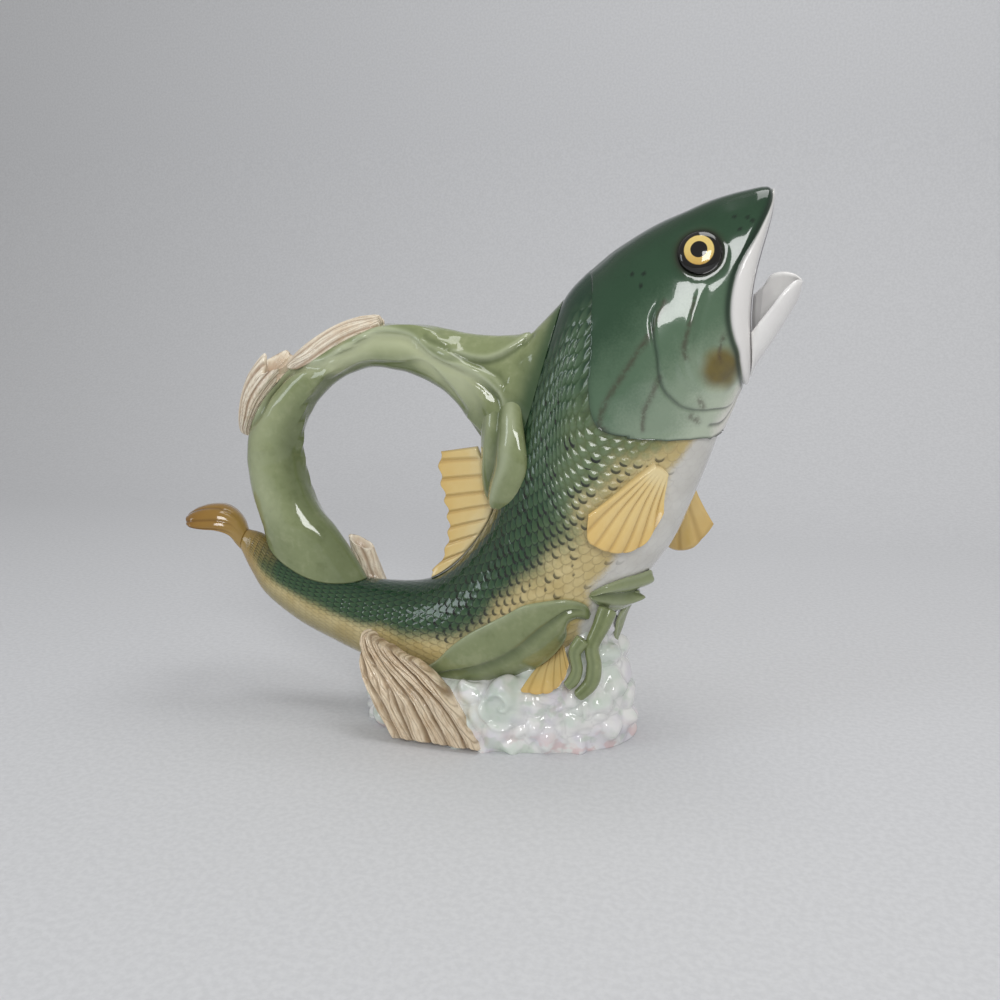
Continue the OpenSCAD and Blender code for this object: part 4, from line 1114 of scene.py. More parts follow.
def build_ring(material):
    """The ring of kelp, which is the handle, with its folds."""
    turn = turns(RING_SIDES)
    rows, places = ring_tube(turn)
    tt, aa = np.meshgrid(np.clip((places - 1) / 2, -0.5, len(RING) - 0.5), turn, indexing="ij")
    up = upward(aa)
    normal = outward(rows, normals_of(rows, True), rows.mean(1, keepdims=True))
    relief, shade, light = ring_folds(rows, normal)
    from_ends = ease(0, 1.2, places) * ease(places[-1], places[-1] - 1.2, places)
    relief += (0.45 * noise(rows, 17, 2) + 0.2 * noise(rows, 7, 4)) * from_ends[:, None]
    rows = rows + normal * relief[..., None]
    closing = [seat_on_fish(TAIL_SEAT, -1, share, turn) for share in SEAT_SHARES]
    opening = [seat_on_fish(NECK_SEAT, 1, share, turn) for share in SEAT_SHARES[::-1]]
    points = np.concatenate([closing, rows, opening])

    to_seat = np.linalg.norm(rows - rows[-1:], axis=-1)
    # pale is painted light, on the upper faces below the main fold and along the middle of the ring's left
    # part
    gap = up - read_off(MAIN_FOLD, tt) + 5 * noise(rows, 10, 14)
    pale = ease(8, -2, gap) * ease(-75, -12, gap) * ease(4.6, 6.4, tt) * ease(12.0, 10.4, tt)
    pale = np.maximum(pale, 0.45 * hill(up - 22, 30) * ease(5.5, 4.0, tt) * ease(-0.2, 1.2, tt))
    marks = {"shade": np.maximum(shade, 0.55 * ease(-2, -60, up) * (1 - pale)), "light": light,
             "neck": hill(to_seat + 2.5 * noise(rows, 7, 9), 10.0), "pale": 0.85 * pale}
    marks = {key: np.pad(mark, ((len(closing), len(opening)), (0, 0))) for key, mark in marks.items()}
    return tube_piece("kelp_ring", points, marks, material, "handle_ring")


def kelp_glaze():
    """Greyish green, with painted shade in the folds and hollows and on the ring's inner side, painted light
    on the ring's upper faces and on ridges and rolled edges, and darker at the neck.
    """
    g = Paint("kelp_glaze")
    cloud = g.noise(12, 3.0) * 0.85 + g.noise(3, 3.0) * 0.15
    colour = g.layers(
        g.ramp(cloud, (0.30, 122, 132, 90), (0.5, 134, 144, 102), (0.70, 148, 156, 116)),
        (g.mark("shade") * 0.75, rgb(70, 84, 52)),
        # painted light on the ring's upper faces
        (g.mark("pale"), rgb(194, 200, 164)),
        (g.mark("light") * 0.6, rgb(190, 198, 168)),
        (g.mark("neck") * 0.92, rgb(52, 78, 50)))
    return g.finish(colour, rough=0.14)


# Leaves, lobe and stems

FRONT_LEAF = [[6.10, -34, 6.05, -38], [6.45, -18, 6.35, -46], [6.90, -1, 6.78, -53], [7.40, 7, 7.25, -61],
              [7.95, 8, 7.72, -61], [8.50, 6, 8.18, -53], [9.00, 2, 8.58, -47], [9.40, -8, 8.92, -41],
              [9.62, -20, 9.16, -33], [9.62, -34, 9.32, -35], [9.46, -45, 9.36, -43]]
COLLAR_LEAF = [[9.85, -33, 9.78, -33], [10.02, -39, 9.70, -38], [10.18, -50, 9.62, -48],
               [10.28, -63, 9.60, -60], [10.36, -76, 9.62, -74], [10.25, -90, 9.70, -92],
               [10.05, -106, 9.78, -108], [9.90, -118, 9.85, -118]]
HANGING_LEAF = [[9.72, -84, 9.72, -104], [9.58, -80, 9.58, -108], [9.40, -80, 9.40, -108],
                [9.20, -86, 9.20, -102], [9.10, -92, 9.10, -96]]
# The lobe from its top down: its middle, the reach to its front edge, and half its thickness
LOBE = np.array([
    [0.012, -0.120, 0.672, 0.024, -0.050, 0.22], [0.013, -0.172, 0.645, 0.031, -0.060, 0.40],
    [0.014, -0.211, 0.606, 0.035, -0.085, 0.66], [0.017, -0.231, 0.561, 0.039, -0.134, 0.82],
    [0.019, -0.231, 0.523, 0.041, -0.149, 0.82], [0.016, -0.224, 0.491, 0.037, -0.142, 0.76],
    [0.012, -0.209, 0.460, 0.029, -0.112, 0.65], [0.009, -0.201, 0.443, 0.015, -0.060, 0.41],
])
# The place of the lobe's hollow across it, from its top down, and how its lower end closes
LOBE_HOLLOW = [(0, 0.05), (0.35, 0.10), (0.65, -0.30), (1, -0.80)]
LOBE_ROWS, LOBE_SIDES, LOBE_END, LOBE_DROP = 150, 120, ((0.18, 0.5), (0.45, 0.85), (0.8, 1.0)), 1.6
LEAF_EDGE_SHARE, LEAF_ROUND, LEAF_SHADE, COLLAR_SHARE = 0.33, 1.4, 0.14, 0.6
# Relief of a leaf in millimetres: its groove, its folds and its rolled edges
LEAF_GROOVE, LEAF_FOLD, LEAF_ROLL = 1.3, 1.8, 0.9
# Where the stems run, and how much thicker they are than the plain sizes
LONG_STEM = [[0.186, -0.358, 0.278], [0.178, -0.412, 0.250], [0.166, -0.460, 0.212],
             [0.170, -0.472, 0.178], [0.166, -0.484, 0.145], [0.146, -0.519, 0.118]]
SHORT_STEM = [[0.154, -0.472, 0.226], [0.142, -0.501, 0.202], [0.146, -0.516, 0.173],
              [0.141, -0.525, 0.152], [0.131, -0.537, 0.138]]
LONG_SWELL, SHORT_SWELL = 1.25, 1.7
STEM_ROWS, STEM_SIDES, STEM_ROUND, STEM_LEAST = 140, 40, 0.05, 0.02


def build_lobe(material):
    """The lobe that hangs from the handle, with a rolled rim and a hollow along its near side."""
    place = np.linspace(0, len(LOBE) - 1, LOBE_ROWS)
    row, zero = along(LOBE, place), np.zeros(LOBE_ROWS)
    middle = (row[:, :3] * np.array([LENGTH, BELLY_W, HEIGHT]))[:, None]
    reach = np.stack([row[:, 3] * LENGTH, row[:, 4] * BELLY_W, zero], -1)
    out = unit(np.stack([-reach[:, 1], reach[:, 0], zero], -1)) * (row[:, 5] * LOBE_T)[:, None]
    f, tt = np.meshgrid(place / (len(LOBE) - 1), turns(LOBE_SIDES, 2 * np.pi), indexing="ij")
    across = np.cos(tt)
    body = ease(0.05, 0.25, f) * ease(0.05, -0.5, np.sin(tt))
    off = across - read_off(LOBE_HOLLOW, f)
    hollow = body * hill(off, 0.24) * ease(1.02, 0.9, f)
    roll = body * (hill(off - 0.52, 0.22) + 0.6 * hill(off + 0.45, 0.17) * ease(0.9, 0.6, f))
    points = middle + reach[:, None] * across[..., None] + out[:, None] * np.sin(tt)[..., None]
    points = points + unit(points - middle) * (roll - 1.5 * hollow - 0.2)[..., None]
    ends = closing_rings(points[-1], np.array([0, 0, -LOBE_DROP]), LOBE_END)
    marks = {"shade": hollow * 0.8, "light": roll * 0.8}
    marks = {key: np.pad(mark, ((0, len(ends)), (0, 0)), "edge") for key, mark in marks.items()}
    return tube_piece("kelp_lobe", np.concatenate([points, ends]), marks, material, "handle_leaf")


def crowned(u, v, thick, edge_share):
    """The thickness of a leaf or a strip of bark, which is least at its edges."""
    edge = thick * edge_share
    return edge + (thick - edge) * np.sin(np.pi * v) * mix(0.6, 1, np.sin(np.pi * u))


def build_leaf(name, edges, material, node, shape, groove_at, groove_width, thick=LEAF_T, lift=0.0,
               folds=(), waves=0.5, hook=0.0):
    """A leaf on the skin, with a groove along its midrib and folds as ridges.

    Each fold has its place across the leaf, its width, the place along the leaf where it stands off,
    and how far. hook paints shade into the far corner.
    """
    u, v = plate_grid(shape)
    raised = SEAM + lift * u**2
    off = v - (groove_at + 0.05 * np.sin(5 * u))
    ends = ease(0.05, 0.2, u) * ease(0.95, 0.8, u)
    groove = hill(np.where(off < 0, off, off * 0.45), groove_width) * ends
    ridge, flick = np.zeros(shape), np.zeros(shape)
    for at, width, tip, peak in folds:
        fold = ease(0, 1, 1 - np.abs(v - at) / width)
        ridge = np.maximum(ridge, fold)
        flick = np.maximum(flick, peak * fold * hill(u - tip, 0.085))
    rolled = np.maximum(hill(v, 0.07), hill(1 - v, 0.07))
    ripple = waves * np.sin(11 * u + 2 * v) * (0.3 + np.abs(v - 0.5))
    top = (raised + crowned(u, v, thick, LEAF_EDGE_SHARE) - LEAF_GROOVE * groove + LEAF_FOLD * ridge
           + LEAF_ROLL * rolled + ripple)
    under = hook * ease(0.72, 0.95, u) * ease(0.45, 0.9, v)
    marks = {"shade": np.maximum(np.maximum(groove * 0.8, under), LEAF_SHADE),
             "light": rolled * 0.5 + 0.4 * ridge}
    base = between(edges, skin)

    def place(u, v, rise):
        return base(u, v, rise) + np.array([1.0, 0.0, 0.45]) * flick[..., None]

    return plate_piece(name, place, top, raised, shape, LEAF_ROUND, marks, material, node)


def build_stem(name, shares, radius, material, node):
    """A tapered stem along a curve, with a groove along it."""
    share = np.linspace(0, 1, STEM_ROWS)
    line = along(shares, share * (len(shares) - 1)) * np.array([LENGTH, BELLY_W, HEIGHT])
    run = unit(np.gradient(line, axis=0))
    side = unit(np.cross(run, np.array([0, -1.0, 0.2])))
    out = np.cross(side, run)
    angle = turns(STEM_SIDES, 2 * np.pi)
    from_groove = (angle - np.pi / 2 + np.pi) % (2 * np.pi) - np.pi
    size = radius * (1 - 0.3 * share) * (1 + 0.10 * np.sin(9 * share + 1))
    for from_end in (share, 1 - share):
        size = size * bulge(1 - from_end / STEM_ROUND, STEM_LEAST)
    ring = 1 - 0.10 * hill(from_groove, 0.35)
    points = line[:, None] + size[:, None, None] * ring[None, :, None] * (
        side[:, None] * np.cos(angle)[None, :, None] + out[:, None] * np.sin(angle)[None, :, None])
    marks = {"shade": np.broadcast_to(hill(from_groove, 0.3) * 0.5, points.shape[:2])}
    return tube_piece(name, points, marks, material, node)


# Driftwood

RING_DRIFTWOOD = [[7.88, 66, 7.88, 108], [7.70, 46, 7.70, 124], [7.25, 36, 7.25, 134], [6.75, 30, 6.75, 138],
                  [6.20, 26, 6.20, 136], [5.80, 34, 5.80, 130], [5.48, 52, 5.48, 116]]
RING_TWIG = [[3.05, 84, 3.05, 92], [3.60, 66, 3.60, 106], [4.20, 56, 4.20, 114], [4.85, 54, 4.85, 114],
             [5.75, 56, 5.75, 108]]
KNOT_SEAT, KNOT_LEAN, KNOT_TOP = (4.58, 0.40, 134.0, 22.0), 0.22, 0.78
# The near and the far edge of the base driftwood, at its top, its middle and its foot, with half its
# thickness at each
STRANDS = np.array([[[-0.204, -0.290, 0.196], [-0.160, -0.345, 0.200]],
                    [[-0.180, -0.425, 0.125], [-0.080, -0.455, 0.135]],
                    [[-0.122, -0.470, 0.004], [-0.014, -0.515, 0.006]]])
STRAND_HALVES, BUNDLE_SWELL = np.array([0.36, 0.5, 0.46]), 1.2
# How far the bundle runs past those edges, and the place across it towards which it narrows
BUNDLE_FROM, BUNDLE_TO, BUNDLE_MIDDLE = -0.14, 1.14, 0.12
# The ragged top end of the base driftwood: places across it, and how far each falls short
TOP_CUT = np.array([[-0.14, -0.04, 0.06, 0.16, 0.24, 0.34, 0.44, 0.54, 0.66, 0.78, 0.90, 1.14],
                    [0.10, 0.00, 0.07, 0.14, 0.02, 0.09, 0.20, 0.12, 0.22, 0.19, 0.30, 0.36]])
TOP_WIDTHS = ((0, 0.25, 0.5, 1), (0.40, 0.68, 0.90, 1))
# How far the teeth of the broken ends of the bark and the twig fall short, across or round the piece
TEETH = [0.55, 0.0, 0.7, 0.25, 1.0, 0.1, 0.35, 0.85, 0.3, 0.6, 1.0]
TWIG_TEETH = [0.5, 1.0, 0.15, 0.0, 0.55, 0.2, 0.7, 0.35, 0.9, 0.5]
BARK_STRANDS, BARK_EDGE_SHARE, BARK_ROUND, BARK_BREAK = 3.6, 0.25, 1.2, 0.10
TWIG_STRANDS, TWIG_SWELL, TWIG_EXTRA, TWIG_BREAK, TWIG_CURVE = 8.0, 0.34, 4.0, 0.24, 1.7
TWIG_ROWS, TWIG_SIDES, TWIG_HOLLOW = 150, 120, ((0.15, 0.05), (0.4, 0.5), (0.75, 0.9))
KNOT_ROWS, KNOT_SIDES, KNOT_SLANT, KNOT_LOW_TURN = 90, 96, 0.28, 150


def wood_grain(x, y, count, seed):
    """Strands that run along x, each at its own level, as a height from 0 to 1 and a depth mark."""
    spot = np.stack([x * 1.1, y * 1.6, np.zeros_like(x)], -1)
    warp = y * count + 0.8 * noise(spot, 1.0, seed) + 0.25 * noise(spot * 2.7, 1.0, seed + 1)
    strand = np.floor(warp)
    f = np.abs(warp - strand - 0.5) * 2
    level = 0.45 + 0.55 * hashed(strand, np.full(strand.shape, seed))
    height, deep = 0.66 * (level * np.sqrt(np.clip(1 - f**2.4, 0, 1))), ease(0.6, 1.0, f)
    for times, share in ((2.3, 0.22), (5.2, 0.12)):
        finer = warp * times + 0.8 * noise(spot * times, 1.0, seed + 2)
        g = np.abs(finer - np.floor(finer) - 0.5) * 2
        height = height + share * bulge(g)
        deep = np.maximum(deep, (0.25 + 2 * share) * ease(0.7, 1.0, g))
    return height, deep


def toothed(share, teeth):
    """How far a broken end falls short at a share of the way across or round it."""
    return np.interp(share, np.linspace(0, 1, len(teeth)), teeth)


def dark_rings(depths, sides):
    """Marks for the rings that close an end; in the hollow of a broken end they paint shade."""
    return np.broadcast_to(np.array(depths)[:, None], (len(depths), sides))


def build_bark(material):
    """The strip of driftwood along the ring, ragged at both ends."""
    shape = (200, 130)
    u, v = plate_grid(shape)
    height, deep = wood_grain(u, v, BARK_STRANDS, 31)
    top = SEAM + crowned(u, v, BARK_T, BARK_EDGE_SHARE) * (0.5 + 0.5 * height)
    whole = between(RING_DRIFTWOOD, ring_point)

    def place(u, v, rise):
        teeth = toothed(v, TEETH)
        return whole(mix(BARK_BREAK * teeth, 1 - BARK_BREAK * teeth[..., ::-1], u), v, rise)

    return plate_piece("driftwood_bark", place, top, np.full(shape, SEAM), shape, BARK_ROUND, {"deep": deep},
                       material, "ring_driftwood")


def build_twig(material):
    """The broken twig that leaves the ring: a ragged stick with strands along it."""
    angle = turns(TWIG_SIDES, 2 * np.pi) - np.pi / 2
    uu, aa = np.meshgrid(np.linspace(0, 1, TWIG_ROWS), angle, indexing="ij")
    passed = (aa + np.pi / 2) / (2 * np.pi)
    reach = uu * (1 - TWIG_BREAK * toothed(passed, TWIG_TEETH))
    row = along(RING_TWIG, reach * (len(RING_TWIG) - 1))
    height, deep = wood_grain(uu, passed, TWIG_STRANDS, 41)
    swell = 1 + TWIG_SWELL * (height - 0.55)
    high = ((TWIG_RISE - BARK_T + TWIG_EXTRA) * reach**TWIG_CURVE
            + BARK_T * mix(0.5, 1.0, np.sin(np.pi * uu) ** 0.5))
    across = mix(row[..., 1], row[..., 3], 0.5 + 0.5 * np.cos(aa) * swell)
    points = ring_point(row[..., 0], across, SEAM + high * (0.5 + 0.5 * np.sin(aa) * swell))
    lid = points[-1]
    hollow = closing_rings(lid, points[-12].mean(0) - lid.mean(0), TWIG_HOLLOW)
    # The rings of the broken end's hollow get painted shade
    marks = {"deep": np.concatenate([deep, dark_rings((0.1, 0.5, 0.9), TWIG_SIDES)])}
    return tube_piece("driftwood_twig", np.concatenate([points, hollow]), marks, material, "ring_twig")


def build_knot(material):
    """The broken stub behind the foot of the ring, hollow at its slanting top."""
    turn = turns(KNOT_SIDES)
    c, s = np.cos(np.radians(turn)), np.sin(np.radians(turn))

    def seat(share):
        return skin(KNOT_SEAT[0] + KNOT_SEAT[1] * share * c, KNOT_SEAT[2] + KNOT_SEAT[3] * share * s, SEAM)

    base = seat(1.0)
    middle = base.mean(0)
    f = np.linspace(0, 1, KNOT_ROWS)[:, None]
    q = base[None] + (middle - base)[None] * (f * (1 - KNOT_TOP))[..., None]
    peak = 1 - KNOT_SLANT * (0.5 - 0.5 * np.cos(np.radians(turn - KNOT_LOW_TURN)))[None]
    z = mix(q[..., 2], middle[2] + KNOT_H * peak, f)
    rows = np.stack([q[..., 0] - KNOT_LEAN * KNOT_H * f, q[..., 1], z], -1)
    height, deep = wood_grain(np.broadcast_to(f, z.shape) * 0.7, np.broadcast_to(turn / 360, z.shape), 5, 11)
    outwards = unit(rows - rows.mean(1, keepdims=True))
    rows = rows + outwards * ((height - 0.8) * 1.4 * ease(0, 0.15, f))[..., None]
    lid = rows[-1]
    hollow = [mix(lid, lid.mean(0) - np.array([0, 0, drop]), share)
              for share, drop in ((0.12, 0.2), (0.35, 1.6), (0.7, 4.0), (0.9, 5.0))]
    points = np.concatenate([[seat(0.3), seat(0.7)], rows, hollow])
    # The rings of the top's hollow get painted shade
    marks = {"deep": np.concatenate([dark_rings((0.0, 0.0), KNOT_SIDES), deep,
                                     dark_rings((0.1, 0.4, 0.8, 1.0), KNOT_SIDES)])}
    return tube_piece("driftwood_stub", points, marks, material, "ring_knot")


def build_base_driftwood(material):
    """The bundle of driftwood strands that leans against the base, ragged at its top."""
    shape = (240, 170)
    u, v = plate_grid(shape)

    def place(u, v, rise):
        f = mix(BUNDLE_FROM, BUNDLE_TO, v)
        s = mix(np.interp(f, TOP_CUT[0], TOP_CUT[1]), 1.0, u)
        f = BUNDLE_MIDDLE + (f - BUNDLE_MIDDLE) * np.interp(s, *TOP_WIDTHS)
        box = np.array([LENGTH, BASE_W, HEIGHT])
        a, b, c = (mix(near, far, f[..., None]) * box for near, far in STRANDS)
        s = s[..., None]
        point = a * (1 - s) * (1 - 2 * s) + 4 * b * s * (1 - s) + c * s * (2 * s - 1)
        out = unit(np.stack([-0.15 - 0.25 * (1 - f), np.full(shape, -1.0), np.full(shape, 0.12)], -1))
        return point + out * rise[..., None]

    height, deep = wood_grain(u * 1.5, v, 5.0, 23)
    thick = np.interp(u, [0, 0.5, 1], STRAND_T * STRAND_HALVES * BUNDLE_SWELL)
    spot = np.stack([u * 3, v * 5, np.zeros(shape)], -1)
    top = thick * (0.06 + 1.15 * height) + 0.8 * noise(spot, 1.0, 51)
    return plate_piece("driftwood_log", place, top, -thick, shape, 2.6, {"deep": deep}, material,
                       "base_driftwood")


def wood_glaze(name, pale, dark, groove):
    """Bare looking wood, from a pale and a dark colour, with a darker one in its grooves that also paints
    shade into the hollows of broken ends.
    """
    g = Paint(name)
    deep = g.mark("deep")
    cloud = g.noise(9, 3.0)
    grain = g.noise(2.0, 4.0, stretch=(1, 1, 0.35))
    colour = g.ramp(cloud * 0.6 + grain * 0.4, (0.3, *dark), (0.62, *pale))
    # Darker in the grooves, and painted shade in the hollows of broken ends
    colour = g.blend(deep * 0.75, colour, rgb(*groove))
    return g.finish(colour, grain * 0.4 + (1.0 - deep) * 0.45, rough=0.22, coat=0.6)


# The foam

BASE_MIDDLE, BASE_REACH, COLUMN, FOAM_TAPER, COLUMN_POWER = -0.010, 0.222, 0.292, 0.13, 3
# Spacing of the lumps of foam, their roundness, and the least and the most that they rise
FOAM_LUMPS = ((12.5, 5.6, 2.8, 6.6), (6.5, 2.6, 0.4, 2.8))
FOOT_LUMPS, FOAM_BLEND, FOAM_WANDER, FOAM_LIMIT = 25, 0.50, 3.4, 6.4
FRONT_SWELL, SIDE_SWELL = 5.0, 2.2
SCROLL_PLACE, SCROLL_START = (10.0, -38.0, 26.0), 0.9
# Where the foam gives room to the fins of the belly, and how far around
PELVIC_ROOM = (27.0, 34.0, 42.0, 14.0)
FOAM_SIDES, FOAM_LAYERS, FOAM_CAP, FOAM_SOFT = 480, 180, 90, 9.0
SCATTER_TRIES, FOOT_TOP, FOAM_SINK, NO_LUMP = 1500, 9, 0.15, -20.0
# The coil of the scroll: where its arm starts and how far apart its turns are
SCROLL_HOLLOW, SCROLL_PITCH = 2.6, 1.7


def scattered(points, spacing, tries, rng):
    """Places picked from points, none of them much closer than the spacing to another."""
    chosen = np.zeros((0, 3))
    for q in points[rng.integers(0, len(points), tries)]:
        if not len(chosen) or (np.linalg.norm(chosen - q, axis=1) > spacing * rng.uniform(0.72, 1.25)).all():
            chosen = np.concatenate([chosen, q[None]])
    return chosen


def foam_form():
    """The foam without its lumps, a low mound that rises to a column in front, and its normals."""
    k = np.concatenate([np.linspace(0, 1, FOAM_LAYERS), np.ones(FOAM_CAP)])
    inward = np.concatenate([np.zeros(FOAM_LAYERS), np.linspace(0, 1, FOAM_CAP + 1)[1:] * 0.9])
    kk, aa = np.meshgrid(k, turns(FOAM_SIDES, 2 * np.pi), indexing="ij")
    narrow = 1 - inward[:, None]
    top = mix(FOAM_H, COLUMN * HEIGHT, np.clip(np.cos(aa), 0, 1) ** COLUMN_POWER)
    taper = 1 - FOAM_TAPER * kk**2
    wider = ease(62, 30, top * kk)
    rx = (BASE_REACH * LENGTH - LUMP_H + FRONT_SWELL * wider * ease(0.3, 0.9, np.cos(aa))) * taper * narrow
    ry = (BASE_W / 2 - LUMP_H + SIDE_SWELL * wider) * taper * narrow
    round_off = FOAM_SOFT * round_over((kk * top - (top - FOAM_SOFT)) / FOAM_SOFT)
    rx, ry = rx - round_off * narrow, ry - round_off * narrow
    base = np.stack([BASE_MIDDLE * LENGTH + rx * np.cos(aa), ry * np.sin(aa), top * kk], -1)
    return base, outward(base, normals_of(base, True), base.mean((0, 1)))


def foam_lumps(base):
    """The middle, the roundness and the rise of each lump: a row round the foot, then both sizes."""
    rng = np.random.default_rng(11)
    lumps = []
    for j in range(FOOT_LUMPS):
        i = rng.integers(8, 26)
        at = int((j + rng.uniform(-0.25, 0.25)) * FOAM_SIDES / FOOT_LUMPS) % FOAM_SIDES
        lumps.append((base[i, at], rng.uniform(4.6, 6.6), rng.uniform(3.8, 5.6)))
    over = base[base[..., 2] > FOOT_TOP].reshape(-1, 3)
    for spacing, ball, low, high in FOAM_LUMPS:
        for centre in scattered(over, spacing, SCATTER_TRIES, rng):
            if np.linalg.norm(np.abs(centre) - np.array(PELVIC_ROOM[:3])) >= PELVIC_ROOM[3]:
                lumps.append((centre, ball * rng.uniform(0.7, 1.3), rng.uniform(low, high)))
    return lumps


def run_together(base, lumps):
    """How far the lumps rise where they blend, and how much painted shade each place gets from lying near a
    crease.
    """
    wander = base + FOAM_WANDER * waver(base, 8.5, (61, 62, 63))
    first, second = (np.full(base.shape[:2], NO_LUMP) for _ in range(2))
    total = np.full(base.shape[:2], math.exp(0.4 / FOAM_BLEND))
    for centre, ball, high in lumps:
        h = high - ((wander - centre) ** 2).sum(-1) / (2 * ball)
        second = np.maximum(second, np.minimum(first, h))
        first = np.maximum(first, h)
        total += np.exp(np.clip(h / FOAM_BLEND, -30, 30))
    rise = FOAM_BLEND * np.log(total) + 0.7 * noise(base, 19, 31) - FOAM_SINK
    return np.minimum(rise, FOAM_LIMIT), ease(1.6, 0.0, first - second) * ease(2.8, 0.8, rise)


def add_scroll(points, base):
    """Presses a scroll into the points: a coiled ridge round a hollow, which runs out into the lumps."""
    coil = points - np.array(SCROLL_PLACE) + 1.2 * waver(base, 7, (71, 72, 73))
    r = np.hypot(coil[..., 0], coil[..., 2])
    way = np.arctan2(coil[..., 2], coil[..., 0])
    near = ease(0, -10, coil[..., 1] - 12)
    arm = r - SCROLL_HOLLOW - SCROLL_PITCH * ((way + SCROLL_START) % (2 * np.pi))
    inner = arm + SCROLL_PITCH * 2 * np.pi
    ridge = (hill(arm, 2.1) + 0.8 * hill(inner, 1.7) * (r < 13)) * ease(16, 11, r) * near
    calm = ease(14.5, 7.0, r) * near
    points[..., 1] = mix(points[..., 1], SCROLL_PLACE[1] - 1.4, calm * 0.7) - 1.9 * ridge
    return ridge, calm, np.maximum(calm, ease(18, 9, r) * near * 0.6)


def build_foam(material):
    """The base of foam: soft lumps of two sizes that run together, with a scroll on its near side."""
    base, normal = foam_form()
    rise, crease_shade = run_together(base, foam_lumps(base))
    points = base + normal * rise[..., None]
    ridge, calm, mint = add_scroll(points, base)
    points[..., 2] = np.maximum(points[..., 2], 0)
    points[0, :, 2] = 0
    centre = np.array([BASE_MIDDLE * LENGTH, 0, 0])
    under = [mix(points[0], centre, share) for share in (0.98, 0.6, 0.2)]
    # painted shade in the creases between lumps and in the scroll's hollow
    marks = {"crease_shade": np.maximum(crease_shade * (1 - calm), 0.45 * calm * (1 - ridge)),
             "high": base[..., 2] / FOAM_H, "mint": mint}
    marks = {key: np.pad(mark, ((len(under), 0), (0, 0))) for key, mark in marks.items()}
    return tube_piece("foam_mound", np.concatenate([under, points]), marks, material, "base_foam")


def foam_glaze():
    """White with faint green, lilac and pink, greener in the scroll, with painted shade in the creases and
    in the scroll's hollow.
    """
    g = Paint("foam_glaze")
    cloud = g.noise(22, 2.0)
    other = g.noise(13, 2.0, stretch=(1.2, 0.9, 1.5))
    low = 1.0 - g.ease(0.0, 0.5, g.mark("high"))
    colour = g.layers(
        g.ramp(cloud, (0.36, 218, 226, 218), (0.5, 236, 236, 234), (0.66, 224, 221, 228)),
        (g.ease(0.54, 0.66, other) * 0.5, rgb(190, 206, 188)),
        (g.ease(0.48, 0.38, other) * low * 0.75, rgb(222, 192, 192)),
        (g.mark("mint") * 0.5, rgb(184, 204, 186)),
        # painted shade in the creases and the scroll's hollow
        (g.mark("crease_shade") * 0.22, rgb(156, 156, 158)))
    return g.finish(colour, rough=0.09, coat=1.0)


# Putting it together

# The left pectoral fin stands off more than its plain size
LEFT_SWELL = 1.2
kelp = kelp_glaze()
fins = fin_glaze()
build_fish(fish_glaze())
build_jaw(jaw_glaze())
eyes = eye_glaze()
build_eye("eye_right_dome", False, eyes, "right_eye")
build_eye("eye_left_dome", True, eyes, "left_eye")
build_flank_fin("pectoral_blade_right", RIGHT_PECTORAL, RIGHT_SPREAD, 7, False, fins, "right_pectoral_fin")
build_flank_fin("pectoral_blade_left", LEFT_PECTORAL, LEFT_SPREAD * LEFT_SWELL, 7, True, fins,
                "left_pectoral_fin")
build_flank_fin("pelvic_blade_right", PELVIC, PELVIC_SPREAD, 6, False, fins, "right_pelvic_fin")
build_flank_fin("pelvic_blade_left", PELVIC, PELVIC_SPREAD, 6, True, fins, "left_pelvic_fin")
build_dorsal(fins)
build_tail(tail_glaze())
build_ring(kelp)
build_lobe(kelp)
build_leaf("kelp_front_leaf", FRONT_LEAF, kelp, "front_leaf", (260, 120), 0.38, 0.045, waves=0.9, hook=0.8)
build_leaf("kelp_collar", COLLAR_LEAF, kelp, "collar_leaf", (260, 110), 0.5, 0.07,
           thick=LEAF_T * COLLAR_SHARE, folds=((0.24, 0.26, 0.58, 2.5), (0.78, 0.26, 0.58, 6.5)))
build_leaf("kelp_hanging_leaf", HANGING_LEAF, kelp, "hanging_leaf", (140, 70), 0.5, 0.08, lift=HANGING_LIFT)
build_stem("kelp_long_stem", LONG_STEM, STEM_R * LONG_SWELL, kelp, "long_stem")
build_stem("kelp_short_stem", SHORT_STEM, SHORT_STEM_R * SHORT_SWELL, kelp, "short_stem")
pale_wood = wood_glaze("pale_wood_glaze", (244, 234, 214), (228, 210, 184), (166, 134, 106))
tan_wood = wood_glaze("tan_wood_glaze", (234, 217, 190), (206, 182, 150), (120, 92, 60))
build_bark(pale_wood)
build_twig(pale_wood)
build_knot(pale_wood)
build_base_driftwood(tan_wood)
build_foam(foam_glaze())


# Floor, light and camera, in metres

FLOOR_HALF, FLOOR_FRONT, FLOOR_BACK, FLOOR_RISE, FLOOR_BEND = 1.6, -2.0, 0.9, 1.6, 0.45
SKY_COLOUR, SKY_STRENGTH = (1.0, 0.985, 0.955, 1), 0.38
# The place, aim, size, power in watts and tint of each lamp
LAMPS = {
    "window_front": ((0.42, -1.28, 0.80), (0.05, 0, 0.17), (0.42, 0.5), 7.4, (1, 1, 1)),
    "window_side": ((-0.95, -0.75, 0.55), (0, 0, 0.12), (0.35, 0.5), 2.0, (0.86, 0.93, 1.0)),
    "ceiling": ((0.30, 0.05, 1.25), (0, 0, 0.1), (0.7, 0.7), 5.6, (1, 1, 1)),
}
CAMERA_AZIMUTH, CAMERA_ELEVATION, CAMERA_DISTANCE, CAMERA_AIM = 15, 12, 0.540, Vector((0, 0, 0.1277))


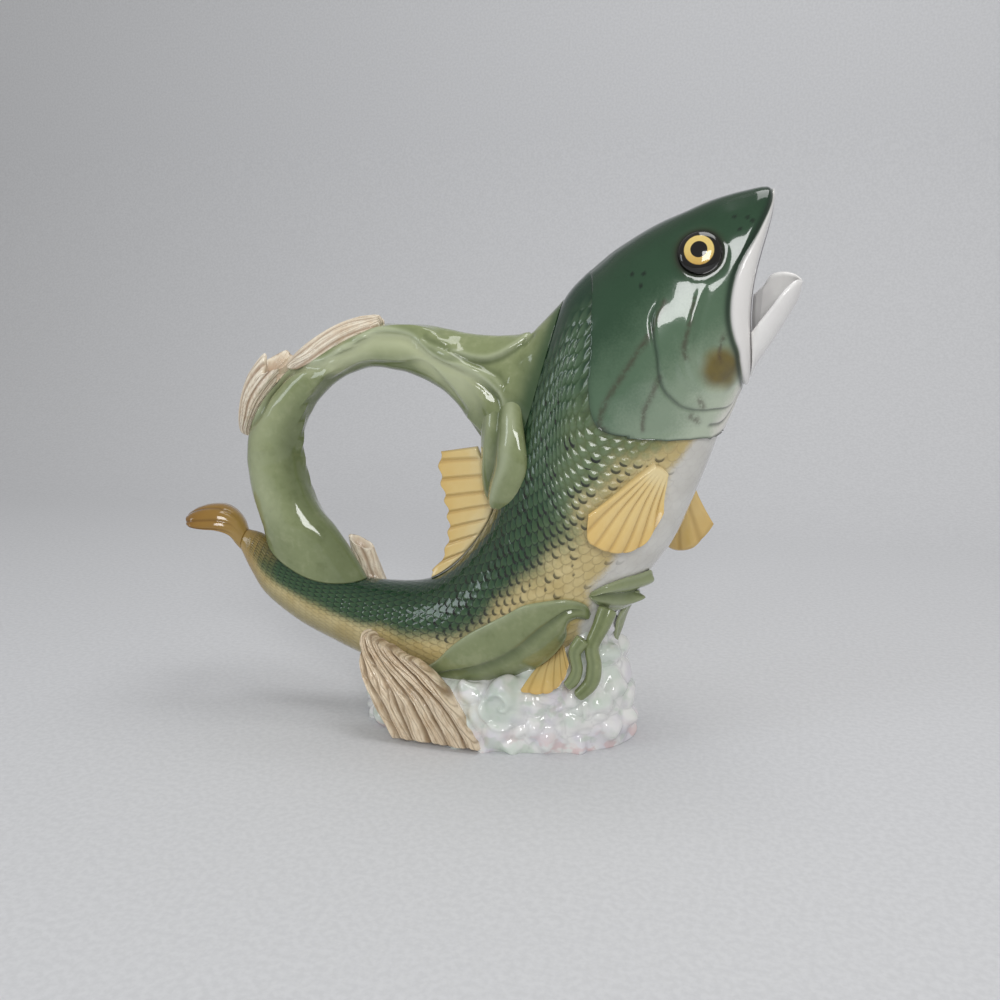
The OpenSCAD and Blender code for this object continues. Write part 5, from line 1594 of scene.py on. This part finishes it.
def build_floor():
    """A pale sheet that lies flat and rises behind the object."""
    bend = np.linspace(0, np.pi / 2, 24)
    y = np.concatenate([[FLOOR_FRONT, 0.0], FLOOR_BACK - FLOOR_BEND + FLOOR_BEND * np.sin(bend),
                        [FLOOR_BACK]])
    z = np.concatenate([[0.0, 0.0], FLOOR_BEND - FLOOR_BEND * np.cos(bend), [FLOOR_RISE]])
    points = [(side * FLOOR_HALF, yy, zz) for yy, zz in zip(y, z) for side in (-1, 1)]
    faces = [(2 * i, 2 * i + 1, 2 * i + 3, 2 * i + 2) for i in range(len(y) - 1)]
    mesh = bpy.data.meshes.new("floor")
    mesh.from_pydata(points, [], faces)
    mesh.shade_smooth()
    floor = bpy.data.objects.new("floor", mesh)
    bpy.context.scene.collection.objects.link(floor)
    g = Paint("floor_cloth")
    colour = g.ramp(g.noise(3.0, 3.0), (0.3, 206, 207, 210), (0.7, 214, 215, 218))
    g.join(g.shader, {"Base Color": colour, "Roughness": 0.9})
    mesh.materials.append(g.material)
    floor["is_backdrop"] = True


def add_lamp(name, place, aim, size, power, tint):
    """A lamp with a flat face that looks from its place at its aim."""
    lamp = bpy.data.lights.new(name, "AREA")
    lamp.shape = "RECTANGLE"
    lamp.size, lamp.size_y = size
    lamp.energy = power
    lamp.color = tint
    thing = bpy.data.objects.new(name, lamp)
    thing.location = place
    thing.rotation_euler = (Vector(aim) - Vector(place)).to_track_quat("-Z", "Y").to_euler()
    bpy.context.scene.collection.objects.link(thing)


def add_sky():
    """The even light from all sides."""
    world = bpy.data.worlds.new("studio")
    world.use_nodes = True
    background = world.node_tree.nodes["Background"]
    background.inputs["Color"].default_value = SKY_COLOUR
    background.inputs["Strength"].default_value = SKY_STRENGTH
    bpy.context.scene.world = world


def add_camera():
    """The camera, placed as the photograph was taken."""
    azimuth, elevation = math.radians(CAMERA_AZIMUTH), math.radians(CAMERA_ELEVATION)
    back = Vector((math.sin(azimuth) * math.cos(elevation), -math.cos(azimuth) * math.cos(elevation),
                   math.sin(elevation)))
    data = bpy.data.cameras.new("camera")
    data.lens, data.sensor_width = 36, 36
    data.clip_start = 0.01
    camera = bpy.data.objects.new("camera", data)
    camera.location = CAMERA_AIM + back * CAMERA_DISTANCE
    camera.rotation_euler = (-back).to_track_quat("-Z", "Y").to_euler()
    bpy.context.scene.collection.objects.link(camera)
    bpy.context.scene.camera = camera


build_floor()
add_sky()
for lamp_name, settings in LAMPS.items():
    add_lamp(lamp_name, *settings)
add_camera()
bpy.context.scene.view_settings.view_transform = "Standard"
